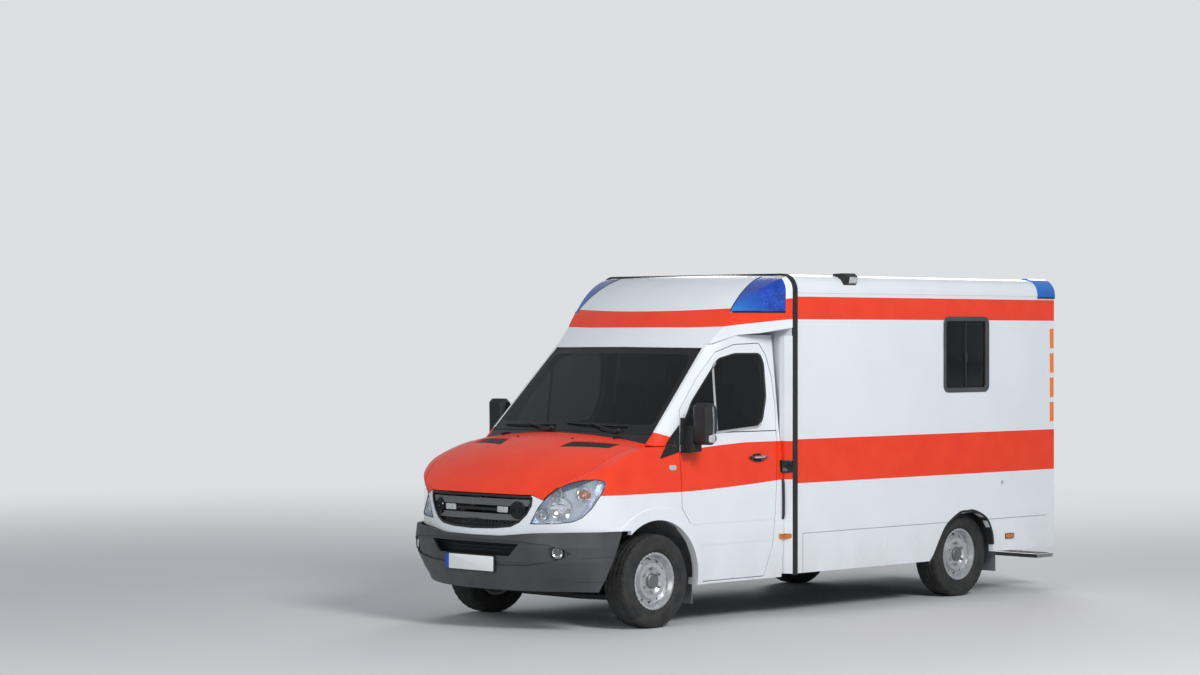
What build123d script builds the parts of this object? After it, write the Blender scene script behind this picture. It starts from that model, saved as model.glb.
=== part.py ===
"""Box-bodied ambulance on a medium-weight van chassis.

Frame: +X towards the nose, +Y to the vehicle's left, +Z up, origin on the ground under the middle of
the overall box. All sizes are millimetres. ahead() places a station from the front axle.
"""

import os
from math import cos, radians, sin

from build123d import *

os.makedirs("parts", exist_ok=True)

# Stations along the vehicle
FRONT_OVERHANG = 1004
WHEELBASE = 3665
REAR_OVERHANG = 1195
STEP_REACH = 190
LENGTH = FRONT_OVERHANG + WHEELBASE + REAR_OVERHANG + STEP_REACH
FRONT_AXLE = LENGTH / 2 - FRONT_OVERHANG
REAR_AXLE = FRONT_AXLE - WHEELBASE
BOX_BACK = REAR_AXLE - REAR_OVERHANG
CAB_BACK = 1405
COLLAR = 32
BAND_W = 52
RING = 70

# Widths and heights
CAB_HALF = 986
BOX_HALF = 1050
BOX_TOP = 2650
BOX_EDGE_R = 130
SKIRT_Z = 325
SKIRT_REAR_Z = 360
SILL_Z = 298
FLOOR_Z = 660
FLOOR_T = 50
WAIST_Z = 1440
HOOD_LIP_Z = 1003
SPLIT_Z = 1352
NOSE_SEAM_Y = 720

# Wheels: 235/65 R16 on a 6.5 inch rim
TYRE_R = 350
TYRE_W = 226
BEAD_R = 203
HALF_TRACK = 855
STEER_Y = 700
STEER_ARM = 130
SPINDLE_R = 30
KINGPIN_R = 20
RACK_R = 14
RUN_FIT = 0.06
ARCH_R = 458
ARCH_X = 20
GROOVE = 3
FLARE_R = 552
FLARE_OUT = 12

# Chassis rails reach this far forward
RAIL_FRONT = 830

# Walls and gaps
DOOR_T = 50
SKIN = 28
BOX_WALL = 45
REAR_POST = 85
SHUT = 6
SEAT = 0.3
GLASS_T = 6

# Hinge lines
CAB_HINGE_X = -256
CAB_HINGE_Y = 992
HOOD_HINGE_X = 46
HOOD_HINGE_Z = 1416
HOOD_HINGE_Y = 612
HOOD_EYE_R = 8
HOOD_PIN_R = 4
HOOD_EYE_W = 24


def ahead(x):
    """Station x millimetres ahead of the front axle."""
    return FRONT_AXLE + x


def save(part, name):
    """Labels a finished piece and writes it under its node's name."""
    part.label = name
    export_step(part, f"parts/{name}.step")


def side_prism(points, y_from, y_to, grow=0):
    """Prism along Y over an outline given as (ahead x, z), grown outwards by grow."""
    with BuildPart() as prism:
        with BuildSketch(Plane.XZ.offset(-y_from)):
            with BuildLine():
                Polyline(*[(ahead(x), z) for x, z in points], close=True)
            make_face()
            if grow:
                offset(amount=grow, kind=Kind.INTERSECTION, mode=Mode.REPLACE)
        extrude(amount=-(y_to - y_from))
    return prism.part


def plan_prism(points, z_from, z_to, grow=0):
    """Prism along Z over an outline given as (ahead x, y)."""
    with BuildPart() as prism:
        with BuildSketch(Plane.XY.offset(z_from)):
            with BuildLine():
                Polyline(*[(ahead(x), y) for x, y in points], close=True)
            make_face()
            if grow:
                offset(amount=grow, kind=Kind.INTERSECTION, mode=Mode.REPLACE)
        extrude(amount=z_to - z_from)
    return prism.part


def block(x_from, x_to, y_from, y_to, z_from, z_to):
    """Plain box between two corners, x ahead of the front axle."""
    size = (x_to - x_from, y_to - y_from, z_to - z_from)
    middle = (ahead((x_from + x_to) / 2), (y_from + y_to) / 2, (z_from + z_to) / 2)
    return Pos(*middle) * Box(*size, mode=Mode.PRIVATE)


# Cab forms: every wall of a form moves in by inset

CROWN_Z = -3850
CROWN_HALF = 16


def lower_form(inset, back=0):
    """Cab block below the belt: hood crown, nose plan and side section."""
    with BuildPart() as form:
        tilt = radians(CROWN_HALF)
        turned = Plane(
            origin=(0, 0, CROWN_Z), x_dir=(1, 0, 0), z_dir=(0, -cos(tilt), -sin(tilt))
        )
        with BuildSketch(turned):
            with BuildLine():
                nose_foot = (ahead(1000), 640 - CROWN_Z)
                hood_nose = (ahead(925), 1012 - CROWN_Z)
                hood_mid = (ahead(392), 1351 - CROWN_Z)
                hood_tail = (ahead(60), WAIST_Z - CROWN_Z)
                waist_back = (ahead(-CAB_BACK - back), WAIST_Z - CROWN_Z)
                sill_back = (ahead(-CAB_BACK - back), -CROWN_Z)
                sill_nose = (ahead(1000), -CROWN_Z)
                Polyline(hood_tail, waist_back, sill_back, sill_nose, nose_foot, hood_nose)
                ThreePointArc(hood_nose, hood_mid, hood_tail)
            make_face()
            if inset:
                offset(amount=-inset, kind=Kind.ARC, mode=Mode.REPLACE)
        revolve(axis=Axis((0, 0, CROWN_Z), (-1, 0, 0)), revolution_arc=2 * CROWN_HALF)
        with BuildSketch():
            with BuildLine():
                nose = (ahead(978), 0)
                brow = (ahead(925), 400)
                cheek = (ahead(820), 680)
                temple = (ahead(690), 850)
                flank = (ahead(300), CAB_HALF)
                stern = (ahead(-CAB_BACK - back), CAB_HALF)
                stern_mid = (ahead(-CAB_BACK - back), 0)
                ThreePointArc(nose, brow, cheek)
                ThreePointArc(cheek, (ahead(765), 770), temple)
                ThreePointArc(temple, (ahead(520), 948), flank)
                Polyline(flank, stern, stern_mid, nose)
            make_face()
            mirror(about=Plane.XZ)
            if inset:
                offset(amount=-inset, kind=Kind.ARC, mode=Mode.REPLACE)
        extrude(amount=2000, mode=Mode.INTERSECT)
        with BuildSketch(Plane.YZ):
            with BuildLine():
                top = (932, WAIST_Z + 60)
                belly = (CAB_HALF, 860)
                foot = (962, SILL_Z)
                ThreePointArc(foot, belly, top)
                Polyline(top, (0, WAIST_Z + 60), (0, SILL_Z), foot)
            make_face()
            mirror(about=Plane.YZ)
            if inset:
                offset(amount=-inset, kind=Kind.ARC, mode=Mode.REPLACE)
        extrude(amount=3500, both=True, mode=Mode.INTERSECT)
    return form.part


# Greenhouse plan outlines; columns: z, nose x, corner x, corner y, side x, side y
GREENHOUSE = (
    (1330, 150, 48, 900, -120, 947),
    (2180, -700, -778, 810, -920, 856),
)


# An inner greenhouse starts this much lower, to run into the inner cab block
GREEN_SINK = 60


def greenhouse(inset, back=0):
    """Cab above the belt, ruled between two plan outlines."""
    with BuildPart() as form:
        for z, nose_x, corner_x, corner_y, side_x, side_y in GREENHOUSE:
            if inset and z == GREENHOUSE[0][0]:
                z = z - GREEN_SINK
                nose_x = nose_x + GREEN_SINK
                corner_x = corner_x + GREEN_SINK
                corner_y = corner_y + 0.1 * GREEN_SINK
                side_x = side_x + 0.94 * GREEN_SINK
                side_y = side_y + 0.1 * GREEN_SINK
            nose = ahead(nose_x) - 1.4 * inset
            corner = (ahead(corner_x) - 1.3 * inset, corner_y - 0.9 * inset)
            turn = (
                ahead(corner_x * 0.56 + side_x * 0.44) - 0.9 * inset,
                corner_y * 0.25 + side_y * 0.75 - 0.9 * inset,
            )
            side = (ahead(side_x) - 0.4 * inset, side_y - inset)
            stern = (ahead(-CAB_BACK - back), side_y - inset)
            with BuildSketch(Plane.XY.offset(z)):
                with BuildLine():
                    ThreePointArc((corner[0], -corner[1]), (nose, 0), corner)
                    ThreePointArc(corner, turn, side)
                    Polyline(side, stern, (stern[0], -stern[1]), (side[0], -side[1]))
                    ThreePointArc(
                        (side[0], -side[1]), (turn[0], -turn[1]), (corner[0], -corner[1])
                    )
                make_face()
        loft(ruled=True)
    return form.part


# Roof line the cap sits on, as (ahead x, z)
ROOF_LINE = ((-560, 2106), (-745, 2106), (-1000, 2178), (-CAB_BACK - 70, 2178))
# Cap cross-sections; columns: x, half width, seat half width, seat z, under-edge z
CAP_SECTIONS = (
    (-560, 805, 780, 2106, 2108),
    (-745, 826, 795, 2106, 2112),
    (-1000, 872, 852, 2178, 2180),
    (-1200, 940, 856, 2178, 2196),
    (-CAB_BACK - COLLAR, BOX_HALF, 856, 2178, 2236),
)
CAP_AXIS = 4722
CAP_HALF = 20


def cap_form(inset):
    """Roof cap: a nose profile swept round in plan, inside flaring cross-sections."""
    with BuildPart() as form:
        for x, half, seat_half, seat_z, under_z in CAP_SECTIONS:
            drop = 40 if inset else 0
            last = x == CAP_SECTIONS[-1][0]
            reach = -60 if inset and last else 0
            with BuildSketch(Plane.YZ.offset(ahead(x + reach))):
                with BuildLine():
                    wide = half - inset
                    top = BOX_TOP - inset
                    radius = BOX_EDGE_R - inset
                    Polyline(
                        (0, top), (0, seat_z - drop), (seat_half - inset, seat_z - drop),
                        (wide, under_z - drop), (wide, top - radius),
                    )
                    RadiusArc((wide, top - radius), (wide - radius, top), -radius)
                    Line((wide - radius, top), (0, top))
                make_face()
                mirror(about=Plane.YZ)
        loft(ruled=True)
        tilt = radians(CAP_HALF)
        turned = Plane(
            origin=(ahead(-CAP_AXIS), 0, 0), x_dir=(cos(tilt), -sin(tilt), 0),
            z_dir=(-sin(tilt), -cos(tilt), 0),
        )
        with BuildSketch(turned):
            with BuildLine():
                visor = (CAP_AXIS - 626 - 1.3 * inset, 2100)
                brow = (CAP_AXIS - 762 - 1.3 * inset, 2236)
                dome = (CAP_AXIS - 950 - inset, 2450 - inset)
                crest = (CAP_AXIS - 1300, BOX_TOP - 13 - inset)
                Polyline((CAP_AXIS - 1300, 2000), (CAP_AXIS - 500, 2000), visor, brow)
                ThreePointArc(brow, dome, crest)
                Polyline(
                    crest, (CAP_AXIS - CAB_BACK, BOX_TOP - inset),
                    (CAP_AXIS - 2300, BOX_TOP - inset), (CAP_AXIS - 2300, 2000),
                    (CAP_AXIS - 1300, 2000),
                )
            make_face()
        revolve(
            axis=Axis((ahead(-CAP_AXIS), 0, 0), (0, 0, 1)), revolution_arc=2 * CAP_HALF,
            mode=Mode.INTERSECT,
        )
    return form.part


# Cab shells and the outlines that divide them

cab_outer = lower_form(0) + greenhouse(0)
cab_inner = lower_form(DOOR_T, 80) + greenhouse(DOOR_T, 80)
cab_shell = cab_outer - cab_inner
front_shell = lower_form(0) - lower_form(SKIN, 80)
cap_seat = side_prism(ROOF_LINE + ((-CAB_BACK - 70, 3000), (-560, 3000)), -1300, 1300)

# Cab door outline, as (ahead x, z)
DOOR_OUTLINE = (
    (-253, 1290), (-253, 880), (-330, 780), (-430, 620), (-478, 520), (-490, 315), (-1196, 315),
    (-1283, 550), (-1303, 750), (-1333, 1060), (-1372, 1387), (-1384, 1627), (-1370, 1850),
    (-1325, 2020), (-1250, 2118), (-960, 2108), (-745, 2050), (-515, 1848), (-300, 1610),
)
WINDOW_OUTLINE = (
    (-437, 1676), (-305, 1470), (-560, 1432), (-1169, 1473), (-1226, 1524), (-1285, 1700),
    (-1288, 1960), (-1250, 2035), (-960, 2036), (-768, 1996),
)
door_hole = side_prism(DOOR_OUTLINE, 600, 1300)
door_core = side_prism(DOOR_OUTLINE, 600, 1300, -SHUT)
window_hole = side_prism(WINDOW_OUTLINE, 600, 1300)
glass_core = side_prism(WINDOW_OUTLINE, 600, 1300, -SEAT)

# Hood outline in plan, left half from nose to tail
HOOD_HALF = ((1100, 0), (1100, 735), (790, 735), (585, 866), (300, 880), (20, 880))
# Its tail edge curves forward to leave swinging room at the windscreen's foot
HOOD_TAIL = ((65, 520), (87, 0), (65, -520))
hood_plan = HOOD_HALF + HOOD_TAIL + tuple((x, -y) for x, y in HOOD_HALF[:0:-1])
# Hood's lower edge seen from the front, left half as (y, z): it dips beside the grille
HOOD_DIP = 44
DIP_Y = (548, 650)

# Headlamp outline seen from 45 degrees ahead, as (across, z)
LAMP_OUTLINE = (
    (-254, 793), (-192, 916), (-136, 986), (-52, 1056), (41, 1100), (134, 1123), (250, 1125),
    (303, 1109), (306, 1079), (273, 1010), (203, 908), (134, 844), (64, 814), (-52, 801),
)


def lamp_prism(grow):
    """Prism through the left headlamp along the 45 degree line."""
    turned = Plane(
        origin=(FRONT_AXLE, 0, 0), x_dir=(-cos(radians(45)), cos(radians(45)), 0),
        z_dir=(cos(radians(45)), cos(radians(45)), 0),
    )
    with BuildPart() as prism:
        with BuildSketch(turned.offset(800)):
            with BuildLine():
                Polyline(*LAMP_OUTLINE, close=True)
            make_face()
            if grow:
                offset(amount=grow, kind=Kind.INTERSECTION, mode=Mode.REPLACE)
        extrude(amount=700)
    return prism.part


lamp_hole = lamp_prism(0)
lamp_core = lamp_prism(-SEAT)
lamp_gap = lamp_prism(SHUT)

with BuildPart() as arch_cut:
    with BuildSketch(Plane.XZ.offset(-600)):
        with Locations((ahead(ARCH_X), 348)):
            Circle(ARCH_R)
        with Locations((ahead(ARCH_X + 30), 150)):
            Rectangle(2 * ARCH_R - 60, 400)
    extrude(amount=-600)

# Grille opening seen from the front, left half as (y, z)
GRILLE_HALF = (
    (0, HOOD_LIP_Z), (540, HOOD_LIP_Z), (552, 985), (546, 930), (508, 862), (446, 802), (374, 768),
    (220, 752), (0, 746),
)


def front_prism(half, x_from, x_to, grow=0):
    """Prism along X over a symmetric outline given by its left half, as (y, z)."""
    with BuildPart() as prism:
        with BuildSketch(Plane.YZ.offset(ahead(x_from))):
            with BuildLine():
                Polyline(*half)
                Polyline(*[(-y, z) for y, z in half])
            make_face()
            if grow:
                offset(amount=grow, kind=Kind.INTERSECTION, mode=Mode.REPLACE)
        extrude(amount=x_to - x_from)
    return prism.part


def hood_edge(rise):
    """Region above the hood's lower edge, raised by rise."""
    half = (
        (0, HOOD_LIP_Z + rise), (DIP_Y[0], HOOD_LIP_Z + rise), (DIP_Y[1], HOOD_LIP_Z - HOOD_DIP + rise),
        (1200, HOOD_LIP_Z - HOOD_DIP + rise), (1200, 1600), (0, 1600),
    )
    return front_prism(half, -200, 1200)


grille_hole = front_prism(((0, 1060), (540, 1060)) + GRILLE_HALF[1:], 600, 1100)
hood_zone = plan_prism(hood_plan, HOOD_LIP_Z - 100, 1600) & hood_edge(0)
hood_core = plan_prism(hood_plan, HOOD_LIP_Z - 100, 1600, -SHUT) & hood_edge(SHUT)

# Bumper's top edge seen from the front, left half as (y, z)
BUMPER_EDGE = ((0, 700), (300, 703), (540, 727), (800, 738), (1200, 740))
EDGE_GAP = 1.5
over_bumper = front_prism(BUMPER_EDGE + ((1200, 900), (0, 900)), 300, 1200)
under_panels = front_prism(
    tuple((y, z + EDGE_GAP) for y, z in BUMPER_EDGE) + ((1200, 100), (0, 100)), 300, 1200
)

# Wheel flare: a sloped ring standing proud of the front wing
flare_ring = (
    Pos(ahead(ARCH_X), 950, 340) * Rot(-90, 0, 0) * Cone(FLARE_R + 52, FLARE_R, 100)
) & block(-600, 700, 850, 1100, SILL_Z, 1000)
wing_flare = (lower_form(-FLARE_OUT) - lower_form(SKIN / 2)) & flare_ring

SCREEN_HALF = ((0, 1446), (868, 1430), (796, 2080), (0, 2086))
screen_hole = front_prism(SCREEN_HALF, -705, 300)
screen_core = front_prism(SCREEN_HALF, -705, 300, -SEAT)


# Cab frame
cowl_cut = plan_prism(
    ((1100, -1100), (1100, 1100), (20, 1100), (20, 868), (60, 520), (80, 0), (60, -520), (20, -868),
     (20, -1100)),
    0, 1560,
)
belly_cut = block(-CAB_BACK - 10, 1200, -880, 880, 200, 605)
rear_slot = block(-CAB_BACK - 90, -CAB_BACK + 8, -2000, 2000, 0, 3000)
with BuildPart() as cab_frame:
    add(cab_shell)
    add(wing_flare)
    add(mirror(wing_flare, about=Plane.XZ))
    add(cap_seat, mode=Mode.SUBTRACT)
    add(cowl_cut, mode=Mode.SUBTRACT)
    add(block(-247, 1200, -1200, 1200, 0, SPLIT_Z), mode=Mode.SUBTRACT)
    add(door_hole, mode=Mode.SUBTRACT)
    add(mirror(door_hole, about=Plane.XZ), mode=Mode.SUBTRACT)
    add(screen_hole, mode=Mode.SUBTRACT)
    add(arch_cut.part, mode=Mode.SUBTRACT)
    add(mirror(arch_cut.part, about=Plane.XZ), mode=Mode.SUBTRACT)
    add(belly_cut, mode=Mode.SUBTRACT)
    hinge_sides = (-HOOD_HINGE_Y, HOOD_HINGE_Y)
    for y in [side + step for side in hinge_sides for step in (-HOOD_EYE_W / 2 - 9, HOOD_EYE_W / 2 + 1)]:
        with BuildSketch(Plane.XZ.offset(-y)):
            with Locations((ahead(HOOD_HINGE_X), HOOD_HINGE_Z)):
                Circle(HOOD_EYE_R)
            with Locations((ahead(HOOD_HINGE_X - 19), HOOD_HINGE_Z - 14)):
                Rectangle(38, 28)
        extrude(amount=-8)
    for y in hinge_sides:
        with BuildSketch(Plane.XZ.offset(-y + HOOD_EYE_W / 2 + 5)):
            with Locations((ahead(HOOD_HINGE_X), HOOD_HINGE_Z)):
                Circle(HOOD_PIN_R)
        extrude(amount=-HOOD_EYE_W - 10)
save(cab_frame.part, "cab_frame")

with BuildPart() as windscreen:
    add(greenhouse(4) - greenhouse(4 + GLASS_T, 20))
    add(screen_core, mode=Mode.INTERSECT)
save(windscreen.part, "windscreen")

# Beacon lenses: the cap's front top corners
LENS_PLAN = ((-955, 832), (-1310, 772), (-1385, 772), (-1385, 1100), (-800, 1100), (-800, 832))
lens_hole = plan_prism(LENS_PLAN, 2352, 2700)
lens_core = plan_prism(LENS_PLAN, 2352 + SEAT, 2700, -SEAT)
with BuildPart() as beacon:
    add(cap_form(0) - cap_form(26))
    add(lens_core, mode=Mode.INTERSECT)
with BuildPart() as roof_cap:
    add(cap_form(0) - cap_form(30))
    add(cap_seat, mode=Mode.INTERSECT)
    add(lens_hole, mode=Mode.SUBTRACT)
    add(mirror(lens_hole, about=Plane.XZ), mode=Mode.SUBTRACT)
save(roof_cap.part, "roof_cap")
save(beacon.part, "beacon_left")
save(mirror(beacon.part, about=Plane.XZ), "beacon_right")

# Cab doors: outer skin to inner trim, trimmed to swing clear of the pillar
DOOR_CREASES = (750, 588)
crease_core = lower_form(GROOVE)
swing_r = [(CAB_HINGE_X - x - 3, z) for x, z in DOOR_OUTLINE[6:15]]
with BuildPart() as swing:
    with BuildSketch(Plane(origin=(ahead(CAB_HINGE_X), CAB_HINGE_Y, 0), x_dir=(1, 0, 0), z_dir=(0, -1, 0))):
        with BuildLine():
            Polyline(
                (0, 200), (swing_r[0][0], 200), *swing_r, (swing_r[-1][0], 2300), (0, 2300),
                close=True,
            )
        make_face()
    revolve(axis=Axis((ahead(CAB_HINGE_X), CAB_HINGE_Y, 0), (0, 0, 1)))
with BuildPart() as cab_door:
    add(cab_shell)
    add(door_core, mode=Mode.INTERSECT)
    add(swing.part, mode=Mode.INTERSECT)
    add(window_hole, mode=Mode.SUBTRACT)
    add(belly_cut, mode=Mode.SUBTRACT)
    for z in DOOR_CREASES:
        add(block(-1400, -250, 800, 1100, z, z + 5) - crease_core, mode=Mode.SUBTRACT)
save(cab_door.part, "cab_door_left")
save(mirror(cab_door.part, about=Plane.XZ), "cab_door_right")
with BuildPart() as cab_glass:
    add(cab_outer - lower_form(8 + GLASS_T, 20) - greenhouse(8 + GLASS_T, 20))
    add(glass_core, mode=Mode.INTERSECT)
    add((lower_form(8) + greenhouse(8)), mode=Mode.INTERSECT)
save(cab_glass.part, "cab_glass_left")
save(mirror(cab_glass.part, about=Plane.XZ), "cab_glass_right")

# Mirrors on the door's front corner
MIRROR_AT = (-355, 1122)
# Head sections; columns: z, length along x, width along y, corner radius
MIRROR_HEAD = ((1358, 70, 130, 30), (1384, 108, 176, 44), (1640, 116, 180, 46), (1668, 74, 132, 30))
with BuildPart() as mirror_head:
    for z, depth, width, radius in MIRROR_HEAD:
        with BuildSketch(Plane.XY.offset(z)):
            with Locations((ahead(MIRROR_AT[0]), MIRROR_AT[1])):
                RectangleRounded(depth, width, radius)
    loft(ruled=True)
with BuildPart() as side_mirror:
    add(mirror_head.part)
    with BuildSketch(Plane.XZ.offset(-930)):
        with BuildLine():
            Polyline(
                (ahead(-262), 1296), (ahead(-392), 1306), (ahead(-384), 1470), (ahead(-338), 1500),
                close=True,
            )
        make_face()
    extrude(amount=-130)
save(side_mirror.part - cab_outer, "mirror_left")
save(mirror(side_mirror.part - cab_outer, about=Plane.XZ), "mirror_right")

# Hood
VENT = ((392, 315), (261, 342), (151, 760), (275, 736))
VENT_DEPTH = 9
vent_pocket = plan_prism(VENT, 1200, 1500) & (lower_form(-1) - lower_form(VENT_DEPTH))
with BuildPart() as hood:
    add(front_shell)
    add(hood_core, mode=Mode.INTERSECT)
    add(lamp_gap, mode=Mode.SUBTRACT)
    add(mirror(lamp_gap, about=Plane.XZ), mode=Mode.SUBTRACT)
    add(vent_pocket, mode=Mode.SUBTRACT)
    add(mirror(vent_pocket, about=Plane.XZ), mode=Mode.SUBTRACT)
    for y in hinge_sides:
        with BuildSketch(Plane.XZ.offset(-y + HOOD_EYE_W / 2 + 12)):
            with Locations((ahead(HOOD_HINGE_X), HOOD_HINGE_Z)):
                Circle(HOOD_EYE_R + 4)
        extrude(amount=-HOOD_EYE_W - 24, mode=Mode.SUBTRACT)
    for y in hinge_sides:
        with BuildSketch(Plane.XZ.offset(-y + HOOD_EYE_W / 2)):
            with Locations((ahead(HOOD_HINGE_X), HOOD_HINGE_Z)):
                Circle(HOOD_EYE_R)
            with Locations((ahead(HOOD_HINGE_X + 27), HOOD_HINGE_Z - 8)):
                Rectangle(41, 20)
        extrude(amount=-HOOD_EYE_W)
        with BuildSketch(Plane.XZ.offset(-y + HOOD_EYE_W / 2 + 1)):
            with Locations((ahead(HOOD_HINGE_X), HOOD_HINGE_Z)):
                Circle(HOOD_PIN_R + RUN_FIT)
        extrude(amount=-HOOD_EYE_W - 2, mode=Mode.SUBTRACT)
save(hood.part, "hood")

# Fenders
with BuildPart() as fender:
    add(front_shell)
    add(wing_flare)
    add(block(-247, 1200, 300, 1200, SILL_Z - 1, SPLIT_Z - SHUT), mode=Mode.INTERSECT)
    add(hood_zone, mode=Mode.SUBTRACT)
    add(arch_cut.part, mode=Mode.SUBTRACT)
    add(lamp_hole, mode=Mode.SUBTRACT)
    add(under_panels, mode=Mode.SUBTRACT)
    add(block(600, 1200, 0, NOSE_SEAM_Y, 0, 1200), mode=Mode.SUBTRACT)
    add(belly_cut, mode=Mode.SUBTRACT)
save(fender.part, "fender_left")
save(mirror(fender.part, about=Plane.XZ), "fender_right")

# Nose panel
with BuildPart() as nose_panel:
    add(front_shell)
    add(
        block(500, 1200, -NOSE_SEAM_Y + SEAT, NOSE_SEAM_Y - SEAT, 690, HOOD_LIP_Z), mode=Mode.INTERSECT
    )
    add(under_panels, mode=Mode.SUBTRACT)
    add(hood_zone, mode=Mode.SUBTRACT)
    add(grille_hole, mode=Mode.SUBTRACT)
    add(lamp_hole, mode=Mode.SUBTRACT)
    add(mirror(lamp_hole, about=Plane.XZ), mode=Mode.SUBTRACT)
save(nose_panel.part, "nose_panel")

# Headlamps
with BuildPart() as headlamp:
    add(lower_form(2) - lower_form(90, 80))
    add(lamp_core, mode=Mode.INTERSECT)
    add(block(-200, 1200, 200, 1200, 0, HOOD_LIP_Z + 300), mode=Mode.INTERSECT)
save(headlamp.part, "headlamp_left")
save(mirror(headlamp.part, about=Plane.XZ), "headlamp_right")

# Grille: rim, bars and a lower mesh inside the nose opening
# Bars; columns: middle z, height, set back from the nose
BARS = ((947, 52, 12), (892, 22, 30), (839, 46, 14), (786, 12, 26))
DISC_AT = (423, 893)
SIREN_R = 62
MESH_PITCH = 34
MESH_Z = (755, 826)
grille_ring = front_prism(GRILLE_HALF, 600, 1100, -SEAT) - front_prism(GRILLE_HALF, 500, 1200, -18)
grille_core = front_prism(GRILLE_HALF, 600, 1100, -10)
bars = [
    (lower_form(back) - lower_form(50, 80)) & grille_core
    & block(500, 1200, -600, 600, z - height / 2, z + height / 2)
    for z, height, back in BARS
]
mesh_skin = (lower_form(26) - lower_form(40, 80)) & grille_core
mesh_posts = [
    mesh_skin & block(500, 1200, y - 3, y + 3, *MESH_Z)
    for y in range(-23 * MESH_PITCH // 2, 12 * MESH_PITCH, MESH_PITCH)
]
siren_skin = lower_form(8) - lower_form(46, 80)
siren_discs = [
    siren_skin & (Pos(ahead(900), y, DISC_AT[1]) * Rot(0, 90, 0) * Cylinder(SIREN_R, 260))
    for y in (-DISC_AT[0], DISC_AT[0])
]
with BuildPart() as grille:
    add((lower_form(4) - lower_form(60, 80)) & grille_ring)
    add(bars)
    add(mesh_posts)
    add(siren_discs)
save(grille.part, "grille")

# Front bumper, ruled between plan outlines; columns: z, middle tuck, corner tuck, side tuck
BUMPER = ((300, 70, 150, 45), (405, 22, 80, 18), (520, 0, 22, 3), (630, 0, 0, 0), (744, 22, 14, 8))


def bumper_form(inset):
    """Bumper block between plan outlines, its skin moved in by inset."""
    with BuildPart() as form:
        for z, middle, corner, side in BUMPER:
            level = z - inset if z == BUMPER[0][0] and inset else z
            level = z + inset if z == BUMPER[-1][0] and inset else level
            with BuildSketch(Plane.XY.offset(level)):
                with BuildLine():
                    nose = (ahead(1004 - middle - inset), 0)
                    cheek = (ahead(925 - 0.7 * corner - inset), 600 - 0.5 * corner - 0.4 * inset)
                    turn = (ahead(800 - 0.7 * corner - 0.8 * inset), 830 - 0.6 * corner - 0.6 * inset)
                    flank = (ahead(560), 968 - side - inset)
                    heel = (ahead(340), 990 - side - inset)
                    ThreePointArc((cheek[0], -cheek[1]), nose, cheek)
                    ThreePointArc(cheek, turn, flank)
                    Polyline(flank, heel, (heel[0], -heel[1]), (flank[0], -flank[1]))
                    ThreePointArc((flank[0], -flank[1]), (turn[0], -turn[1]), (cheek[0], -cheek[1]))
                make_face()
        loft(ruled=True)
    return form.part


# Openings and recesses seen from the front, left halves as (y, z)
INTAKE_HALF = ((0, 652), (470, 649), (380, 556), (0, 556))
SMILE_HALF = (
    (0, 674), (480, 670), (700, 655), (800, 628), (848, 592), (800, 556), (711, 519), (516, 489),
    (255, 483), (0, 482),
)
SMILE_DEPTH = 11
FOG_AT = (815, 749, 594)
FOG_R = 44
FOG_DEPTH = 22
# Side grooves; columns: z, from x, to x
BUMPER_GROOVES = ((553, 330, 700), (374, 480, 700))
bumper_ends = side_prism(((330, 800), (372, 745), (572, 280), (300, 260)), -1200, 1200)
bumper_beam = block(RAIL_FRONT + SEAT, 1100, -440, 440, 490, 536) & bumper_form(14)
bumper_outer = bumper_form(0)
smile = front_prism(SMILE_HALF, 640, 1100) - bumper_form(SMILE_DEPTH)
fog_bore = (
    Pos(ahead(FOG_AT[0]), FOG_AT[1], FOG_AT[2]) * Rot(0, 90, 40) * Cylinder(FOG_R, 200)
) - bumper_form(FOG_DEPTH)
groove_core = bumper_form(GROOVE)
grooves = [
    block(x_from, x_to, 600, 1100, z, z + 4) - groove_core for z, x_from, x_to in BUMPER_GROOVES
]
with BuildPart() as front_bumper:
    add(bumper_outer - bumper_form(30))
    add(bumper_beam)
    add(arch_cut.part, mode=Mode.SUBTRACT)
    add(mirror(arch_cut.part, about=Plane.XZ), mode=Mode.SUBTRACT)
    add(bumper_ends, mode=Mode.SUBTRACT)
    add(over_bumper, mode=Mode.SUBTRACT)
    add(smile, mode=Mode.SUBTRACT)
    add(front_prism(INTAKE_HALF, 800, 1100), mode=Mode.SUBTRACT)
    for cut in [fog_bore] + grooves:
        add(cut, mode=Mode.SUBTRACT)
        add(mirror(cut, about=Plane.XZ), mode=Mode.SUBTRACT)
save(front_bumper.part, "front_bumper")


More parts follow.
